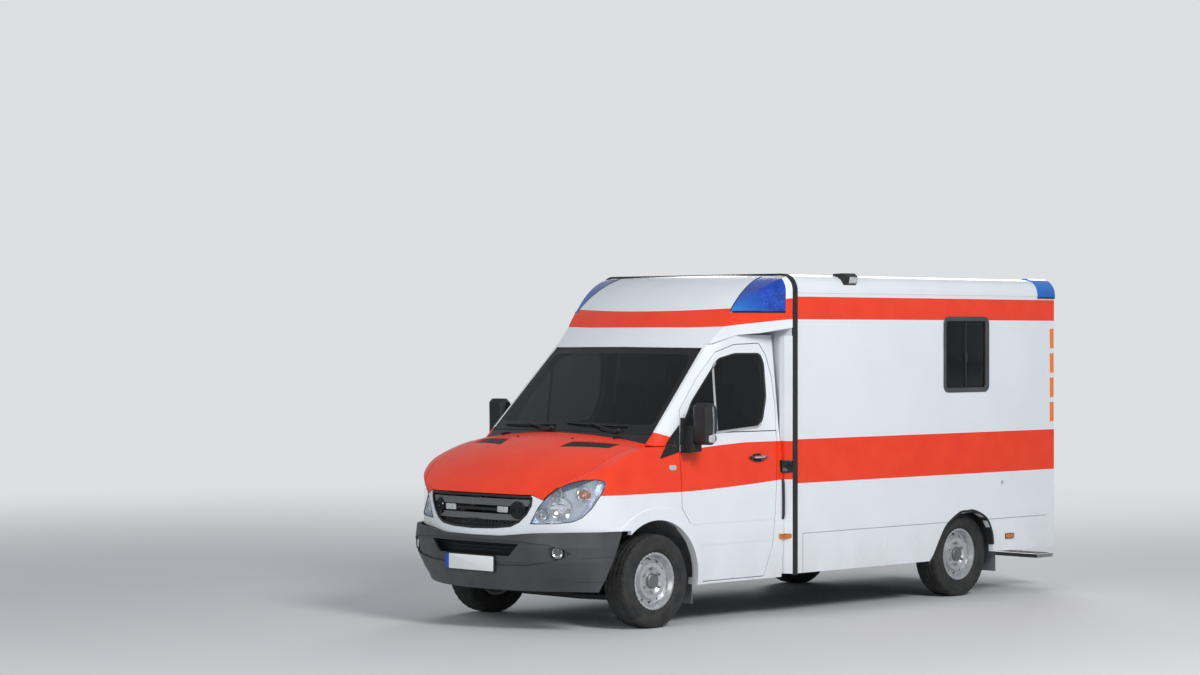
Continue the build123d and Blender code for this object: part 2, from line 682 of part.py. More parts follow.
# Chassis frame: two rails and their crossmembers
RAIL_Y = 420
RAIL_W = 60
RAIL_TOP = 608
RAIL_H = 130
TOW_AT = (-330, 566)
TOW_R = 10
TOW_L = 50
CROSS_X = (800, -700, -1450, -2400, -3150, -4200, -4740)
with BuildPart() as chassis_frame:
    with BuildSketch(Plane.XY.offset(RAIL_TOP - RAIL_H)):
        with BuildLine():
            Polyline(
                (ahead(RAIL_FRONT), RAIL_Y - RAIL_W), (ahead(RAIL_FRONT), RAIL_Y),
                (BOX_BACK + RING + 5, RAIL_Y), (BOX_BACK + RING + 5, RAIL_Y - RAIL_W), close=True,
            )
        make_face()
        mirror(about=Plane.XZ)
    extrude(amount=RAIL_H)
    with BuildSketch(Plane.XY.offset(RAIL_TOP - RAIL_H + 20)):
        with Locations(*[(ahead(x), 0) for x in CROSS_X]):
            Rectangle(60, 2 * RAIL_Y - 20)
    extrude(amount=RAIL_H - 40)
    with BuildSketch(Plane.YZ.offset(ahead(800))):
        with Locations(TOW_AT):
            Circle(TOW_R + 14)
    extrude(amount=TOW_L + 40)
    with BuildSketch(Plane.YZ.offset(ahead(840))):
        with Locations(TOW_AT):
            Circle(TOW_R)
    extrude(amount=TOW_L, mode=Mode.SUBTRACT)
save(chassis_frame.part, "chassis_frame")

# Engine and gearbox
with BuildPart() as engine_block:
    add(block(0, 600, -300, 300, 420, 960))
    add(block(-640, 0, -190, 190, 340, 580))
    add(block(150, 250, -360, 360, 500, 560))
save(engine_block.part, "engine_block")

# Front suspension: crossmember, arms with kingpin eyes, rack housing
EYE_Z = (205, 495)
EYE_H = 36
with BuildPart() as front_suspension:
    with BuildSketch(Plane.XY.offset(EYE_Z[0] - EYE_H / 2)):
        with BuildLine():
            Polyline(
                (ahead(150), 0), (ahead(150), 300), (ahead(34), STEER_Y), (ahead(-34), STEER_Y),
                (ahead(-190), 300), (ahead(-190), 0), close=True,
            )
        make_face()
        with Locations((ahead(0), STEER_Y)):
            Circle(38)
        mirror(about=Plane.XZ)
    extrude(amount=EYE_H)
    with BuildSketch(Plane.XY.offset(EYE_Z[1] - EYE_H / 2)):
        with BuildLine():
            Polyline(
                (ahead(80), RAIL_Y + 2), (ahead(30), STEER_Y), (ahead(-30), STEER_Y),
                (ahead(-80), RAIL_Y + 2), close=True,
            )
        make_face()
        with Locations((ahead(0), STEER_Y)):
            Circle(38)
        mirror(about=Plane.XZ)
    extrude(amount=EYE_H)
    with BuildSketch(Plane.XY.offset(EYE_Z[0])):
        with Locations((ahead(40), RAIL_Y - 40), (ahead(40), 40 - RAIL_Y)):
            Rectangle(120, 40)
    extrude(amount=RAIL_TOP - RAIL_H - EYE_Z[0])
    with BuildSketch(Plane.XY.offset(EYE_Z[0])):
        with Locations((ahead(20), RAIL_Y + 17), (ahead(20), -RAIL_Y - 17)):
            Rectangle(120, 30)
    extrude(amount=EYE_Z[1] - EYE_Z[0] + EYE_H / 2)
    with BuildSketch(Plane.XZ.offset(-280)):
        with Locations((ahead(-STEER_ARM), 260)):
            Circle(RACK_R + 16)
            Rectangle(30, 84)
    extrude(amount=560)
    with BuildSketch(Plane.XZ.offset(-800)):
        with Locations((ahead(-STEER_ARM), 260)):
            Circle(RACK_R + RUN_FIT)
    extrude(amount=1600, mode=Mode.SUBTRACT)
    with BuildSketch():
        with Locations((ahead(0), STEER_Y), (ahead(0), -STEER_Y)):
            Circle(KINGPIN_R + RUN_FIT)
    extrude(amount=900, mode=Mode.SUBTRACT)
save(front_suspension.part, "front_suspension")

# Steering rack with slotted ball-joint plates
SLOT_X = 38
SLOT_Y = 17
PLATE_T = 14
with BuildPart() as steering_rack:
    with BuildSketch(Plane.XZ.offset(-(STEER_Y - 45))):
        with Locations((ahead(-STEER_ARM), 260)):
            Circle(RACK_R)
    extrude(amount=2 * (STEER_Y - 45))
    with BuildSketch(Plane.XY.offset(260 - PLATE_T / 2)):
        with Locations((ahead(-STEER_ARM + 8), STEER_Y), (ahead(-STEER_ARM + 8), -STEER_Y)):
            Rectangle(2 * SLOT_X + 30, 2 * SLOT_Y + 30)
            Rectangle(2 * SLOT_X, 2 * SLOT_Y, mode=Mode.SUBTRACT)
        with Locations((ahead(-STEER_ARM), STEER_Y - 40), (ahead(-STEER_ARM), 40 - STEER_Y)):
            Rectangle(30, 24)
    extrude(amount=PLATE_T)
save(steering_rack.part, "steering_rack")

# Knuckles: kingpin, hub, brake disc, spindle and steering arm
WHEEL_Z = TYRE_R
HUB_FACE = HALF_TRACK - 8
DISC_R = 140
with BuildPart() as knuckle:
    with BuildSketch(Plane.XY.offset(EYE_Z[0] - EYE_H / 2 - 8)):
        with Locations((ahead(0), STEER_Y)):
            Circle(KINGPIN_R)
    extrude(amount=EYE_Z[1] - EYE_Z[0] + EYE_H + 16)
    with BuildSketch(Plane.XY.offset(EYE_Z[0] + EYE_H / 2 + 3)):
        with Locations((ahead(0), STEER_Y)):
            Circle(36)
    extrude(amount=EYE_Z[1] - EYE_Z[0] - EYE_H - 6)
    with BuildSketch(Plane.XZ.offset(-STEER_Y)):
        with Locations((ahead(0), WHEEL_Z)):
            Circle(58)
    extrude(amount=-(HUB_FACE - STEER_Y))
    with BuildSketch(Plane.XZ.offset(-775)):
        with Locations((ahead(0), WHEEL_Z)):
            Circle(DISC_R)
    extrude(amount=-24)
    with BuildSketch(Plane.XZ.offset(-HUB_FACE)):
        with Locations((ahead(0), WHEEL_Z)):
            Circle(SPINDLE_R)
    extrude(amount=-70)
    with BuildSketch(Plane.XY.offset(286)):
        with Locations((ahead(-STEER_ARM / 2), STEER_Y)):
            SlotOverall(STEER_ARM + 44, 36)
    extrude(amount=24)
    with BuildSketch(Plane.XY.offset(240)):
        with Locations((ahead(-STEER_ARM), STEER_Y)):
            Circle(10)
    extrude(amount=50)
save(knuckle.part, "knuckle_left")
save(mirror(knuckle.part, about=Plane.XZ), "knuckle_right")

# Rear axle with springs, drums and prop shaft
SPRING_Y = 520
with BuildPart() as rear_axle:
    with BuildSketch(Plane.XZ.offset(-770)):
        with Locations((REAR_AXLE, WHEEL_Z)):
            Circle(46)
    extrude(amount=1540)
    with BuildSketch(Plane.XZ.offset(-HUB_FACE)):
        with Locations((REAR_AXLE, WHEEL_Z)):
            Circle(58)
    extrude(amount=2 * HUB_FACE)
    with BuildSketch(Plane.XZ.offset(-HUB_FACE - 70)):
        with Locations((REAR_AXLE, WHEEL_Z)):
            Circle(SPINDLE_R)
    extrude(amount=2 * HUB_FACE + 140)
    for y in (-775 - 24, 775):
        with BuildSketch(Plane.XZ.offset(-y)):
            with Locations((REAR_AXLE, WHEEL_Z)):
                Circle(DISC_R)
        extrude(amount=-24)
    with Locations((REAR_AXLE, 0, WHEEL_Z)):
        Sphere(150)
    with BuildSketch(Plane.YZ.offset(REAR_AXLE)):
        with Locations((0, WHEEL_Z + 20)):
            Circle(38)
    extrude(amount=ahead(-642) - REAR_AXLE)
    for y in (-SPRING_Y, SPRING_Y):
        with BuildSketch(Plane.XZ.offset(-y - 40)):
            with BuildLine():
                ThreePointArc(
                    (REAR_AXLE + 650, 500), (REAR_AXLE, 400), (REAR_AXLE - 650, 500)
                )
                Line((REAR_AXLE - 650, 500), (REAR_AXLE - 650, 524))
                ThreePointArc(
                    (REAR_AXLE - 650, 524), (REAR_AXLE, 424), (REAR_AXLE + 650, 524)
                )
                Line((REAR_AXLE + 650, 524), (REAR_AXLE + 650, 500))
            make_face()
        extrude(amount=80)
    with Locations((REAR_AXLE, SPRING_Y, 390), (REAR_AXLE, -SPRING_Y, 390)):
        Box(90, 90, 60)
    with Locations(
        (REAR_AXLE + 635, SPRING_Y - 45, 515), (REAR_AXLE - 635, SPRING_Y - 45, 515),
        (REAR_AXLE + 635, 45 - SPRING_Y, 515), (REAR_AXLE - 635, 45 - SPRING_Y, 515),
    ):
        Box(30, 109, 30)
save(rear_axle.part, "rear_axle")

# Wheels and tyres, drawn as (radius, station across) and revolved round the axle line
LIP_R = 214
LIP_Y = 80
TYRE_HALF = (
    (BEAD_R, LIP_Y), (LIP_R + 4, LIP_Y), (LIP_R + 12, 98), (275, TYRE_W / 2), (315, 108),
    (TYRE_R - 8, 92), (TYRE_R, 64),
)


def wheel_plane(x, side):
    """Sketch plane at an axle with y across the car and x up the radius."""
    return Plane(origin=(x, side * HALF_TRACK, WHEEL_Z), x_dir=(0, 0, 1), z_dir=(1, 0, 0))


def tyre(x, side):
    """Tyre section revolved round the axle."""
    plane = wheel_plane(x, side)
    with BuildPart() as ring:
        with BuildSketch(plane):
            with BuildLine():
                Polyline(*TYRE_HALF, *[(r, -w) for r, w in TYRE_HALF[::-1]], close=True)
            make_face()
        revolve(axis=Axis(plane.origin, (0, 1, 0)))
    return ring.part


# Wheel section; columns: radius, station outwards from the wheel's middle
RIM_OUT = (
    (SPINDLE_R + RUN_FIT, 64), (56, 64), (60, 50), (84, 46), (104, 62), (132, 64), (146, 40), (170, 30),
    (178, 34), (184, 56), (198, LIP_Y + 8), (LIP_R, LIP_Y + 8),
)
RIM_IN = (
    (LIP_R, LIP_Y + SEAT), (BEAD_R - SEAT, LIP_Y + SEAT), (190, 50), (186, -60),
    (BEAD_R - SEAT, -LIP_Y - SEAT), (LIP_R, -LIP_Y - SEAT), (LIP_R, -LIP_Y - 8), (194, -LIP_Y - 2),
    (176, -60), (178, 18), (146, 26), (130, 48), (106, 48), (88, 22), (SPINDLE_R + RUN_FIT, -6),
)
HAND_HOLES = 12


def rim(x, side):
    """Steel wheel: dished disc with hand holes, welded into its rim."""
    plane = wheel_plane(x, side)
    with BuildPart() as disc:
        with BuildSketch(plane):
            with BuildLine():
                Polyline(*[(r, side * -w) for r, w in RIM_OUT + RIM_IN], close=True)
            make_face()
        revolve(axis=Axis(plane.origin, (0, 1, 0)))
        with BuildSketch(Plane(origin=plane.origin, x_dir=(1, 0, 0), z_dir=(0, side, 0))):
            with PolarLocations(160, HAND_HOLES):
                Circle(11)
        extrude(amount=100, both=True, mode=Mode.SUBTRACT)
    return disc.part


for name, x, side in (
    ("front_left", FRONT_AXLE, 1), ("front_right", FRONT_AXLE, -1),
    ("rear_left", REAR_AXLE, 1), ("rear_right", REAR_AXLE, -1),
):
    save(tyre(x, side), f"tyre_{name}")
    save(rim(x, side), f"wheel_{name}")


# Cab floor: pan, toe board, firewall and front arch liners in one pressing
PAN_T = 32
LINER_T = 30
with BuildPart() as cab_floor:
    with BuildSketch(Plane.XZ.offset(-880)):
        with BuildLine():
            Polyline(
                (ahead(-CAB_BACK + 5), 608), (ahead(-440), 608), (ahead(-110), 890),
                (ahead(-70), 890), (ahead(-70), 1295), (ahead(-95), 1295), (ahead(-95), 915),
                (ahead(-125), 915), (ahead(-450), 608 + PAN_T), (ahead(-CAB_BACK + 5), 608 + PAN_T),
                close=True,
            )
        make_face()
    extrude(amount=2 * 880)
    add(block(-CAB_BACK + 5, -500, 830, 880, 325, 620))
    add(block(-CAB_BACK + 5, -500, -880, -830, 325, 620))
    for y in (-900, 500):
        with BuildSketch(Plane.XZ.offset(-y)):
            with Locations((ahead(ARCH_X), 348)):
                Circle(ARCH_R + 14 + LINER_T)
                Circle(ARCH_R + 14, mode=Mode.SUBTRACT)
            with Locations((ahead(ARCH_X), 0)):
                Rectangle(1200, 1330, mode=Mode.SUBTRACT)
            with Locations((ahead(ARCH_X - 850), 348)):
                Rectangle(1000, 2000, mode=Mode.SUBTRACT)
        extrude(amount=-400)
    with BuildSketch(Plane.YZ.offset(ahead(-474))):
        with Locations((789, 380), (-789, 380)):
            Rectangle(176, 470)
    extrude(amount=-8)
save(cab_floor.part, "cab_floor")

# Dashboard, seats on their plinth, steering wheel
WHEEL_TILT = 28
STEERING_HUB = (-560, 420, 1130)
steer_plane = Plane(
    origin=(ahead(STEERING_HUB[0]), STEERING_HUB[1], STEERING_HUB[2]), x_dir=(0, 1, 0),
    z_dir=(-cos(radians(WHEEL_TILT)), 0, sin(radians(WHEEL_TILT))),
)
COLUMN_R = 18
COLUMN_L = 170
with BuildPart() as steering_wheel:
    with BuildSketch(Plane(origin=steer_plane.origin, x_dir=steer_plane.x_dir, z_dir=-steer_plane.y_dir)):
        with Locations((200, 0)):
            Circle(15)
    revolve(axis=Axis(steer_plane.origin, steer_plane.z_dir))
    with BuildSketch(steer_plane.offset(-35)):
        Circle(52)
        Rectangle(396, 34)
        with Locations((0, -100)):
            Rectangle(34, 196)
    extrude(amount=26)
    with BuildSketch(steer_plane.offset(-COLUMN_L)):
        Circle(COLUMN_R)
    extrude(amount=COLUMN_L - 20)
save(steering_wheel.part, "steering_wheel")

with BuildPart() as dashboard:
    with BuildSketch(Plane.XZ.offset(-800)):
        with BuildLine():
            Polyline(
                (ahead(-95.5), 1285), (ahead(-95.5), 960), (ahead(-300), 930), (ahead(-400), 1060),
                (ahead(-410), 1230), (ahead(-330), 1325), (ahead(-200), 1340), close=True,
            )
        make_face()
    extrude(amount=1600)
    with BuildSketch(Plane.XZ.offset(-180)):
        with BuildLine():
            Polyline(
                (ahead(-210), 945), (ahead(-410), 1080), (ahead(-445), 960), (ahead(-470), 641),
                (ahead(-452), 641), (ahead(-210), 862), close=True,
            )
        make_face()
    extrude(amount=360)
    with BuildSketch(steer_plane.offset(-COLUMN_L - 60)):
        Circle(48)
    extrude(amount=150)
    with BuildSketch(steer_plane.offset(-COLUMN_L - 40)):
        Circle(COLUMN_R + RUN_FIT)
    extrude(amount=300, mode=Mode.SUBTRACT)
save(dashboard.part, "dashboard")

SEATS = ((420, 480), (-420, 760))
with BuildPart() as cab_seats:
    for y, width in SEATS:
        with BuildSketch(Plane.XZ.offset(-y - width / 2)):
            with BuildLine():
                Polyline(
                    (ahead(-700), 900), (ahead(-720), 1010), (ahead(-1130), 990), (ahead(-1260), 1600),
                    (ahead(-1350), 1590), (ahead(-1240), 940), (ahead(-1200), 880), close=True,
                )
            make_face()
        extrude(amount=width)
        with BuildSketch(Plane.XZ.offset(-y - 140)):
            with BuildLine():
                Polyline(
                    (ahead(-1262), 1570), (ahead(-1255), 1790), (ahead(-1340), 1790),
                    (ahead(-1346), 1570), close=True,
                )
            make_face()
        extrude(amount=280)
    with BuildSketch(Plane.XY.offset(608 + PAN_T)):
        with Locations((ahead(-980), 0)):
            Rectangle(420, 1500)
    extrude(amount=270)
save(cab_seats.part, "cab_seats")

# Box front wall with its collar
PASS_W = 620
PASS_Z = (1250, 1950)
BAND_FRONT = -CAB_BACK - COLLAR
BOX_START = BAND_FRONT - BAND_W
ROOF_SPRING = BOX_TOP - BOX_EDGE_R
WALL_TOP = ROOF_SPRING - 10


def box_section(x, inset, z_low):
    """Box cross-section face at station x, as a builder sketch."""
    with BuildSketch(Plane.YZ.offset(ahead(x))) as section:
        with BuildLine():
            wide = BOX_HALF - inset
            top = BOX_TOP - inset
            radius = BOX_EDGE_R - inset
            Polyline((0, top), (0, z_low), (wide, z_low), (wide, top - radius))
            RadiusArc((wide, top - radius), (wide - radius, top), -radius)
            Line((wide - radius, top), (0, top))
        make_face()
        mirror(about=Plane.YZ)
    return section.sketch


collar_plan = (
    (-CAB_BACK - 3, 990), (BAND_FRONT, BOX_HALF), (BAND_FRONT, BOX_HALF - 90), (-CAB_BACK - 3, 940),
)
collar_left = plan_prism(collar_plan, SKIRT_Z, 2172)
pass_window = block(BOX_START - 10, BAND_FRONT + 10, -PASS_W / 2, PASS_W / 2, *PASS_Z)
under_wall = block(BOX_START - 10, BAND_FRONT + 10, 90 - BOX_HALF, BOX_HALF - 90, 0, 609)
with BuildPart() as box_front_wall:
    extrude(box_section(BAND_FRONT, 9, SKIRT_Z), amount=-BAND_W)
    add(under_wall, mode=Mode.SUBTRACT)
    add(pass_window, mode=Mode.SUBTRACT)
    add(collar_left)
    add(mirror(collar_left, about=Plane.XZ))
save(box_front_wall.part, "box_front_wall")

with BuildPart() as seam_strip:
    extrude(box_section(BAND_FRONT - SEAT, -8, SKIRT_Z - 10), amount=2 * SEAT - BAND_W)
    extrude(box_section(BAND_FRONT, 9 - SEAT, 0), amount=-BAND_W, mode=Mode.SUBTRACT)
save(seam_strip.part, "seam_strip")

# Box floor with wheel boxes and mud flaps
RING_X = -WHEELBASE - REAR_OVERHANG + RING
INNER_HALF = BOX_HALF - BOX_WALL
WELL_X = 430
WELL_Y = 690
WELL_Z = 850
with BuildPart() as box_floor:
    add(block(RING_X, BOX_START, -INNER_HALF, INNER_HALF, FLOOR_Z - FLOOR_T, FLOOR_Z))
    for side in (-1, 1):
        y_in = side * (WELL_Y - 25)
        y_out = side * INNER_HALF
        add(block(
            -WHEELBASE - WELL_X - 25, -WHEELBASE + WELL_X + 25, min(y_in, y_out), max(y_in, y_out),
            FLOOR_Z - FLOOR_T, WELL_Z,
        ))
    for side in (-1, 1):
        y_in = side * WELL_Y
        y_out = side * (INNER_HALF + 10)
        add(block(
            -WHEELBASE - WELL_X, -WHEELBASE + WELL_X, min(y_in, y_out), max(y_in, y_out),
            FLOOR_Z - FLOOR_T - 10, WELL_Z - 25,
        ), mode=Mode.SUBTRACT)
    with BuildSketch(Plane.YZ.offset(ahead(-WHEELBASE - WELL_X))):
        with Locations((BOX_HALF - 180, 400), (180 - BOX_HALF, 400)):
            Rectangle(250, 430)
    extrude(amount=-8)
save(box_floor.part, "box_floor")

# Box side walls
REAR_ARCH = (
    (-3130, 290), (-3200, 352), (-3282, 486), (-3380, 610), (-3540, 696), (-3740, 706),
    (-3900, 640), (-3975, 530), (-3995, 420), (-3995, 290),
)
ARCH_FILLET = 70
SKIRT_GROOVE_Z = 630
WINDOW_X = (-3335, -3924)
WINDOW_Z = (1715, 2319)
SIDE_DOOR_X = (-1650, -2500)
SIDE_DOOR_Z = (400, 2240)
SIDE_GLASS_X = (-1850, -2300)
SIDE_GLASS_Z = (1560, 2150)
REAR_DOOR_HALF = BOX_HALF - REAR_POST
REAR_DOOR_Z = (600, 2430)
REAR_GLASS_Y = (240, 740)
REAR_GLASS_Z = (1450, 2200)
BARREL_R = 9
PIN_R = 5
EAR_R = 8
EAR_H = 12
HINGE_Z = (0.12, 0.5, 0.88)
HINGE_H = 90


def rounded_hole(x_pair, z_pair, y_from, y_to, radius, grow=0):
    """Prism along Y over a rounded rectangle, for wall openings."""
    with BuildPart() as hole:
        with BuildSketch(Plane.XZ.offset(-y_from)):
            with Locations((ahead(sum(x_pair) / 2), sum(z_pair) / 2)):
                RectangleRounded(
                    abs(x_pair[1] - x_pair[0]) + 2 * grow, z_pair[1] - z_pair[0] + 2 * grow,
                    radius + grow,
                )
        extrude(amount=-(y_to - y_from))
    return hole.part


SIDE_OUT = BOX_HALF + 50
SIDE_IN = BOX_HALF - 150
with BuildPart() as arch_hole:
    with BuildSketch(Plane.XZ.offset(SIDE_OUT)):
        with BuildLine():
            FilletPolyline(*[(ahead(x), z) for x, z in REAR_ARCH], radius=ARCH_FILLET)
            Line((ahead(REAR_ARCH[-1][0]), REAR_ARCH[-1][1]), (ahead(REAR_ARCH[0][0]), REAR_ARCH[0][1]))
        make_face()
    extrude(amount=-2 * SIDE_OUT)
skirt_step = block(-WHEELBASE - REAR_OVERHANG - 10, -3990, -SIDE_OUT, SIDE_OUT, 0, SKIRT_REAR_Z)


def skirt_groove(side):
    """Shallow groove along a side wall's outer face."""
    y_pair = sorted((side * (BOX_HALF - GROOVE), side * (BOX_HALF + 1)))
    return block(RING_X + 40, BOX_START - 45, *y_pair, SKIRT_GROOVE_Z, SKIRT_GROOVE_Z + 2 * GROOVE)


with BuildPart() as box_wall_left:
    add(block(RING_X, BOX_START, INNER_HALF, BOX_HALF, SKIRT_Z, WALL_TOP))
    add(arch_hole.part, mode=Mode.SUBTRACT)
    add(skirt_step, mode=Mode.SUBTRACT)
    add(skirt_groove(1), mode=Mode.SUBTRACT)
    add(rounded_hole(WINDOW_X, WINDOW_Z, SIDE_IN, SIDE_OUT, 60), mode=Mode.SUBTRACT)
save(box_wall_left.part, "box_wall_left")

side_axis = (ahead(SIDE_DOOR_X[0]), -BOX_HALF - BARREL_R)
side_hinges = [
    SIDE_DOOR_Z[0] + share * (SIDE_DOOR_Z[1] - SIDE_DOOR_Z[0]) for share in HINGE_Z
]
side_barrels = [Pos(*side_axis, z) * Cylinder(BARREL_R, HINGE_H) for z in side_hinges]
side_bores = [Pos(*side_axis, z) * Cylinder(PIN_R + RUN_FIT, HINGE_H + 4) for z in side_hinges]
side_pins = [Pos(*side_axis, z) * Cylinder(PIN_R, HINGE_H + 2 * EAR_H) for z in side_hinges]
ear_steps = (-HINGE_H / 2 - EAR_H / 2 - 3, HINGE_H / 2 + EAR_H / 2 + 3)
side_ears = [
    Pos(*side_axis, z + step) * Cylinder(EAR_R, EAR_H)
    + Pos(side_axis[0] + 4, side_axis[1] + BARREL_R / 2, z + step) * Box(14, BARREL_R, EAR_H)
    for z in side_hinges for step in ear_steps
]
side_pockets = [Pos(*side_axis, z) * Cylinder(BARREL_R + 3, HINGE_H + 6) for z in side_hinges]
side_straps = [
    block(
        SIDE_DOOR_X[0] - 130, SIDE_DOOR_X[0], -BOX_HALF - 6, -BOX_HALF, z - HINGE_H / 2 + 8,
        z + HINGE_H / 2 - 8,
    )
    for z in side_hinges
]
with BuildPart() as box_wall_right:
    add(block(RING_X, BOX_START, -BOX_HALF, -INNER_HALF, SKIRT_Z, WALL_TOP))
    add(arch_hole.part, mode=Mode.SUBTRACT)
    add(skirt_step, mode=Mode.SUBTRACT)
    add(skirt_groove(-1), mode=Mode.SUBTRACT)
    add(block(SIDE_DOOR_X[1], SIDE_DOOR_X[0], -SIDE_OUT, -SIDE_IN, *SIDE_DOOR_Z), mode=Mode.SUBTRACT)
    add(side_pockets, mode=Mode.SUBTRACT)
    add(side_ears)
    add(side_pins)
save(box_wall_right.part, "box_wall_right")

with BuildPart() as side_door:
    add(block(
        SIDE_DOOR_X[1] + SHUT, SIDE_DOOR_X[0] - SHUT, -BOX_HALF, -INNER_HALF,
        SIDE_DOOR_Z[0] + SHUT, SIDE_DOOR_Z[1] - SHUT,
    ))
    add(side_barrels)
    add(side_straps)
    add(skirt_groove(-1), mode=Mode.SUBTRACT)
    add(side_bores, mode=Mode.SUBTRACT)
    add(rounded_hole(SIDE_GLASS_X, SIDE_GLASS_Z, -SIDE_OUT, -SIDE_IN, 60), mode=Mode.SUBTRACT)
save(side_door.part, "side_door")
with BuildPart() as side_glass:
    add(rounded_hole(SIDE_GLASS_X, SIDE_GLASS_Z, -BOX_HALF + 8, -BOX_HALF + 8 + GLASS_T, 60, -SEAT))
save(side_glass.part, "side_glass")

# Side window: frame, divider and panes
MID_X = sum(WINDOW_X) / 2
frame_ring = rounded_hole(WINDOW_X, WINDOW_Z, INNER_HALF, BOX_HALF + 7, 60, -SEAT)
frame_hole = rounded_hole(WINDOW_X, WINDOW_Z, SIDE_IN, SIDE_OUT, 60, -28)
pane = rounded_hole(WINDOW_X, WINDOW_Z, BOX_HALF - 14, BOX_HALF - 8, 60, -20)
with BuildPart() as box_window:
    add(frame_ring)
    add(frame_hole, mode=Mode.SUBTRACT)
    add(pane)
    add(block(MID_X - 10, MID_X + 10, BOX_HALF - 20, BOX_HALF + 2, WINDOW_Z[0] + 10, WINDOW_Z[1] - 10))
save(box_window.part, "box_window")

# Box roof
ROOF_CUT = WALL_TOP + SEAT
with BuildPart() as box_roof:
    extrude(box_section(BOX_START, 0, ROOF_CUT), amount=RING_X - BOX_START)
    extrude(box_section(BOX_START, BOX_WALL, 0), amount=RING_X - BOX_START, mode=Mode.SUBTRACT)
save(box_roof.part, "box_roof")

# Rear frame round the rear doors
BACK_X = RING_X - RING
rear_axes = (ahead(BACK_X) - BARREL_R, REAR_DOOR_HALF)
rear_hinges = [
    REAR_DOOR_Z[0] + share * (REAR_DOOR_Z[1] - REAR_DOOR_Z[0]) for share in HINGE_Z
]
rear_pockets = [
    Pos(rear_axes[0], side * rear_axes[1], z) * Cylinder(BARREL_R + 3, HINGE_H + 6)
    for z in rear_hinges for side in (-1, 1)
]
rear_pins = [
    Pos(rear_axes[0], side * rear_axes[1], z) * Cylinder(PIN_R, HINGE_H + 2 * EAR_H)
    for z in rear_hinges for side in (-1, 1)
]
rear_ears = [
    Pos(rear_axes[0], side * rear_axes[1], z + step) * Cylinder(EAR_R, EAR_H)
    + Pos(rear_axes[0] + BARREL_R / 2, side * (rear_axes[1] + 3), z + step)
    * Box(BARREL_R, 12, EAR_H)
    for z in rear_hinges for side in (-1, 1) for step in ear_steps
]
rear_opening = block(
    BACK_X - 10, RING_X + 10, -REAR_DOOR_HALF, REAR_DOOR_HALF, *REAR_DOOR_Z
)
with BuildPart() as rear_frame:
    extrude(box_section(RING_X, 0, SKIRT_REAR_Z), amount=-RING)
    add(rear_opening, mode=Mode.SUBTRACT)
    add(rear_pockets, mode=Mode.SUBTRACT)
    add(rear_ears)
    add(rear_pins)
save(rear_frame.part, "rear_frame")

rear_barrels = [Pos(*rear_axes, z) * Cylinder(BARREL_R, HINGE_H) for z in rear_hinges]
rear_bores = [Pos(*rear_axes, z) * Cylinder(PIN_R + RUN_FIT, HINGE_H + 4) for z in rear_hinges]
rear_straps = [
    block(BACK_X - 6, BACK_X, REAR_DOOR_HALF - 140, REAR_DOOR_HALF, z - 36, z + 36)
    for z in rear_hinges
]


def back_hole(x_from, x_to, grow=0):
    """Prism along X over the rounded window of the left rear door."""
    with BuildPart() as hole:
        with BuildSketch(Plane.YZ.offset(ahead(x_from))):
            with Locations((sum(REAR_GLASS_Y) / 2, sum(REAR_GLASS_Z) / 2)):
                RectangleRounded(
                    REAR_GLASS_Y[1] - REAR_GLASS_Y[0] + 2 * grow,
                    REAR_GLASS_Z[1] - REAR_GLASS_Z[0] + 2 * grow, 60 + grow,
                )
        extrude(amount=x_to - x_from)
    return hole.part


rear_hole = back_hole(BACK_X - 10, BACK_X + 100)
with BuildPart() as rear_door:
    add(block(
        BACK_X, BACK_X + BOX_WALL, SHUT / 2, REAR_DOOR_HALF - SHUT, REAR_DOOR_Z[0] + SHUT,
        REAR_DOOR_Z[1] - SHUT,
    ))
    add(rear_barrels)
    add(rear_straps)
    add(rear_bores, mode=Mode.SUBTRACT)
    add(rear_hole, mode=Mode.SUBTRACT)
save(rear_door.part, "rear_door_left")
save(mirror(rear_door.part, about=Plane.XZ), "rear_door_right")
rear_pane = back_hole(BACK_X + 8, BACK_X + 8 + GLASS_T, -SEAT)
save(rear_pane, "rear_glass_left")
save(mirror(rear_pane, about=Plane.XZ), "rear_glass_right")

# Tail beacons over the rear roof corners, and the scene light on the roof edge
TAIL_X = (BACK_X, BACK_X + 240)
corner_zone = block(*TAIL_X, BOX_HALF - 170, BOX_HALF + 150, BOX_TOP - 155, BOX_TOP + 150)
with BuildPart() as tail_beacon:
    extrude(box_section(TAIL_X[0], -10, 0), amount=TAIL_X[1] - TAIL_X[0])
    extrude(box_section(TAIL_X[0], -SEAT, 0), amount=TAIL_X[1] - TAIL_X[0], mode=Mode.SUBTRACT)
    add(corner_zone, mode=Mode.INTERSECT)
save(tail_beacon.part, "tail_beacon_left")
save(mirror(tail_beacon.part, about=Plane.XZ), "tail_beacon_right")

with BuildPart() as scene_light:
    with BuildSketch(Plane.YZ.offset(ahead(-2210))):
        with BuildLine():
            Polyline(
                (BOX_HALF - 125, BOX_TOP - 30), (BOX_HALF - 120, BOX_TOP + 14), (BOX_HALF - 20, BOX_TOP + 18),
                (BOX_HALF + 12, BOX_TOP - 8), (BOX_HALF + 2, BOX_TOP - 58), (BOX_HALF - 22, BOX_TOP - 90),
                close=True,
            )
        make_face()
    extrude(amount=150)
    extrude(box_section(-2300, -SEAT, 0), amount=400, mode=Mode.SUBTRACT)
save(scene_light.part, "scene_light")

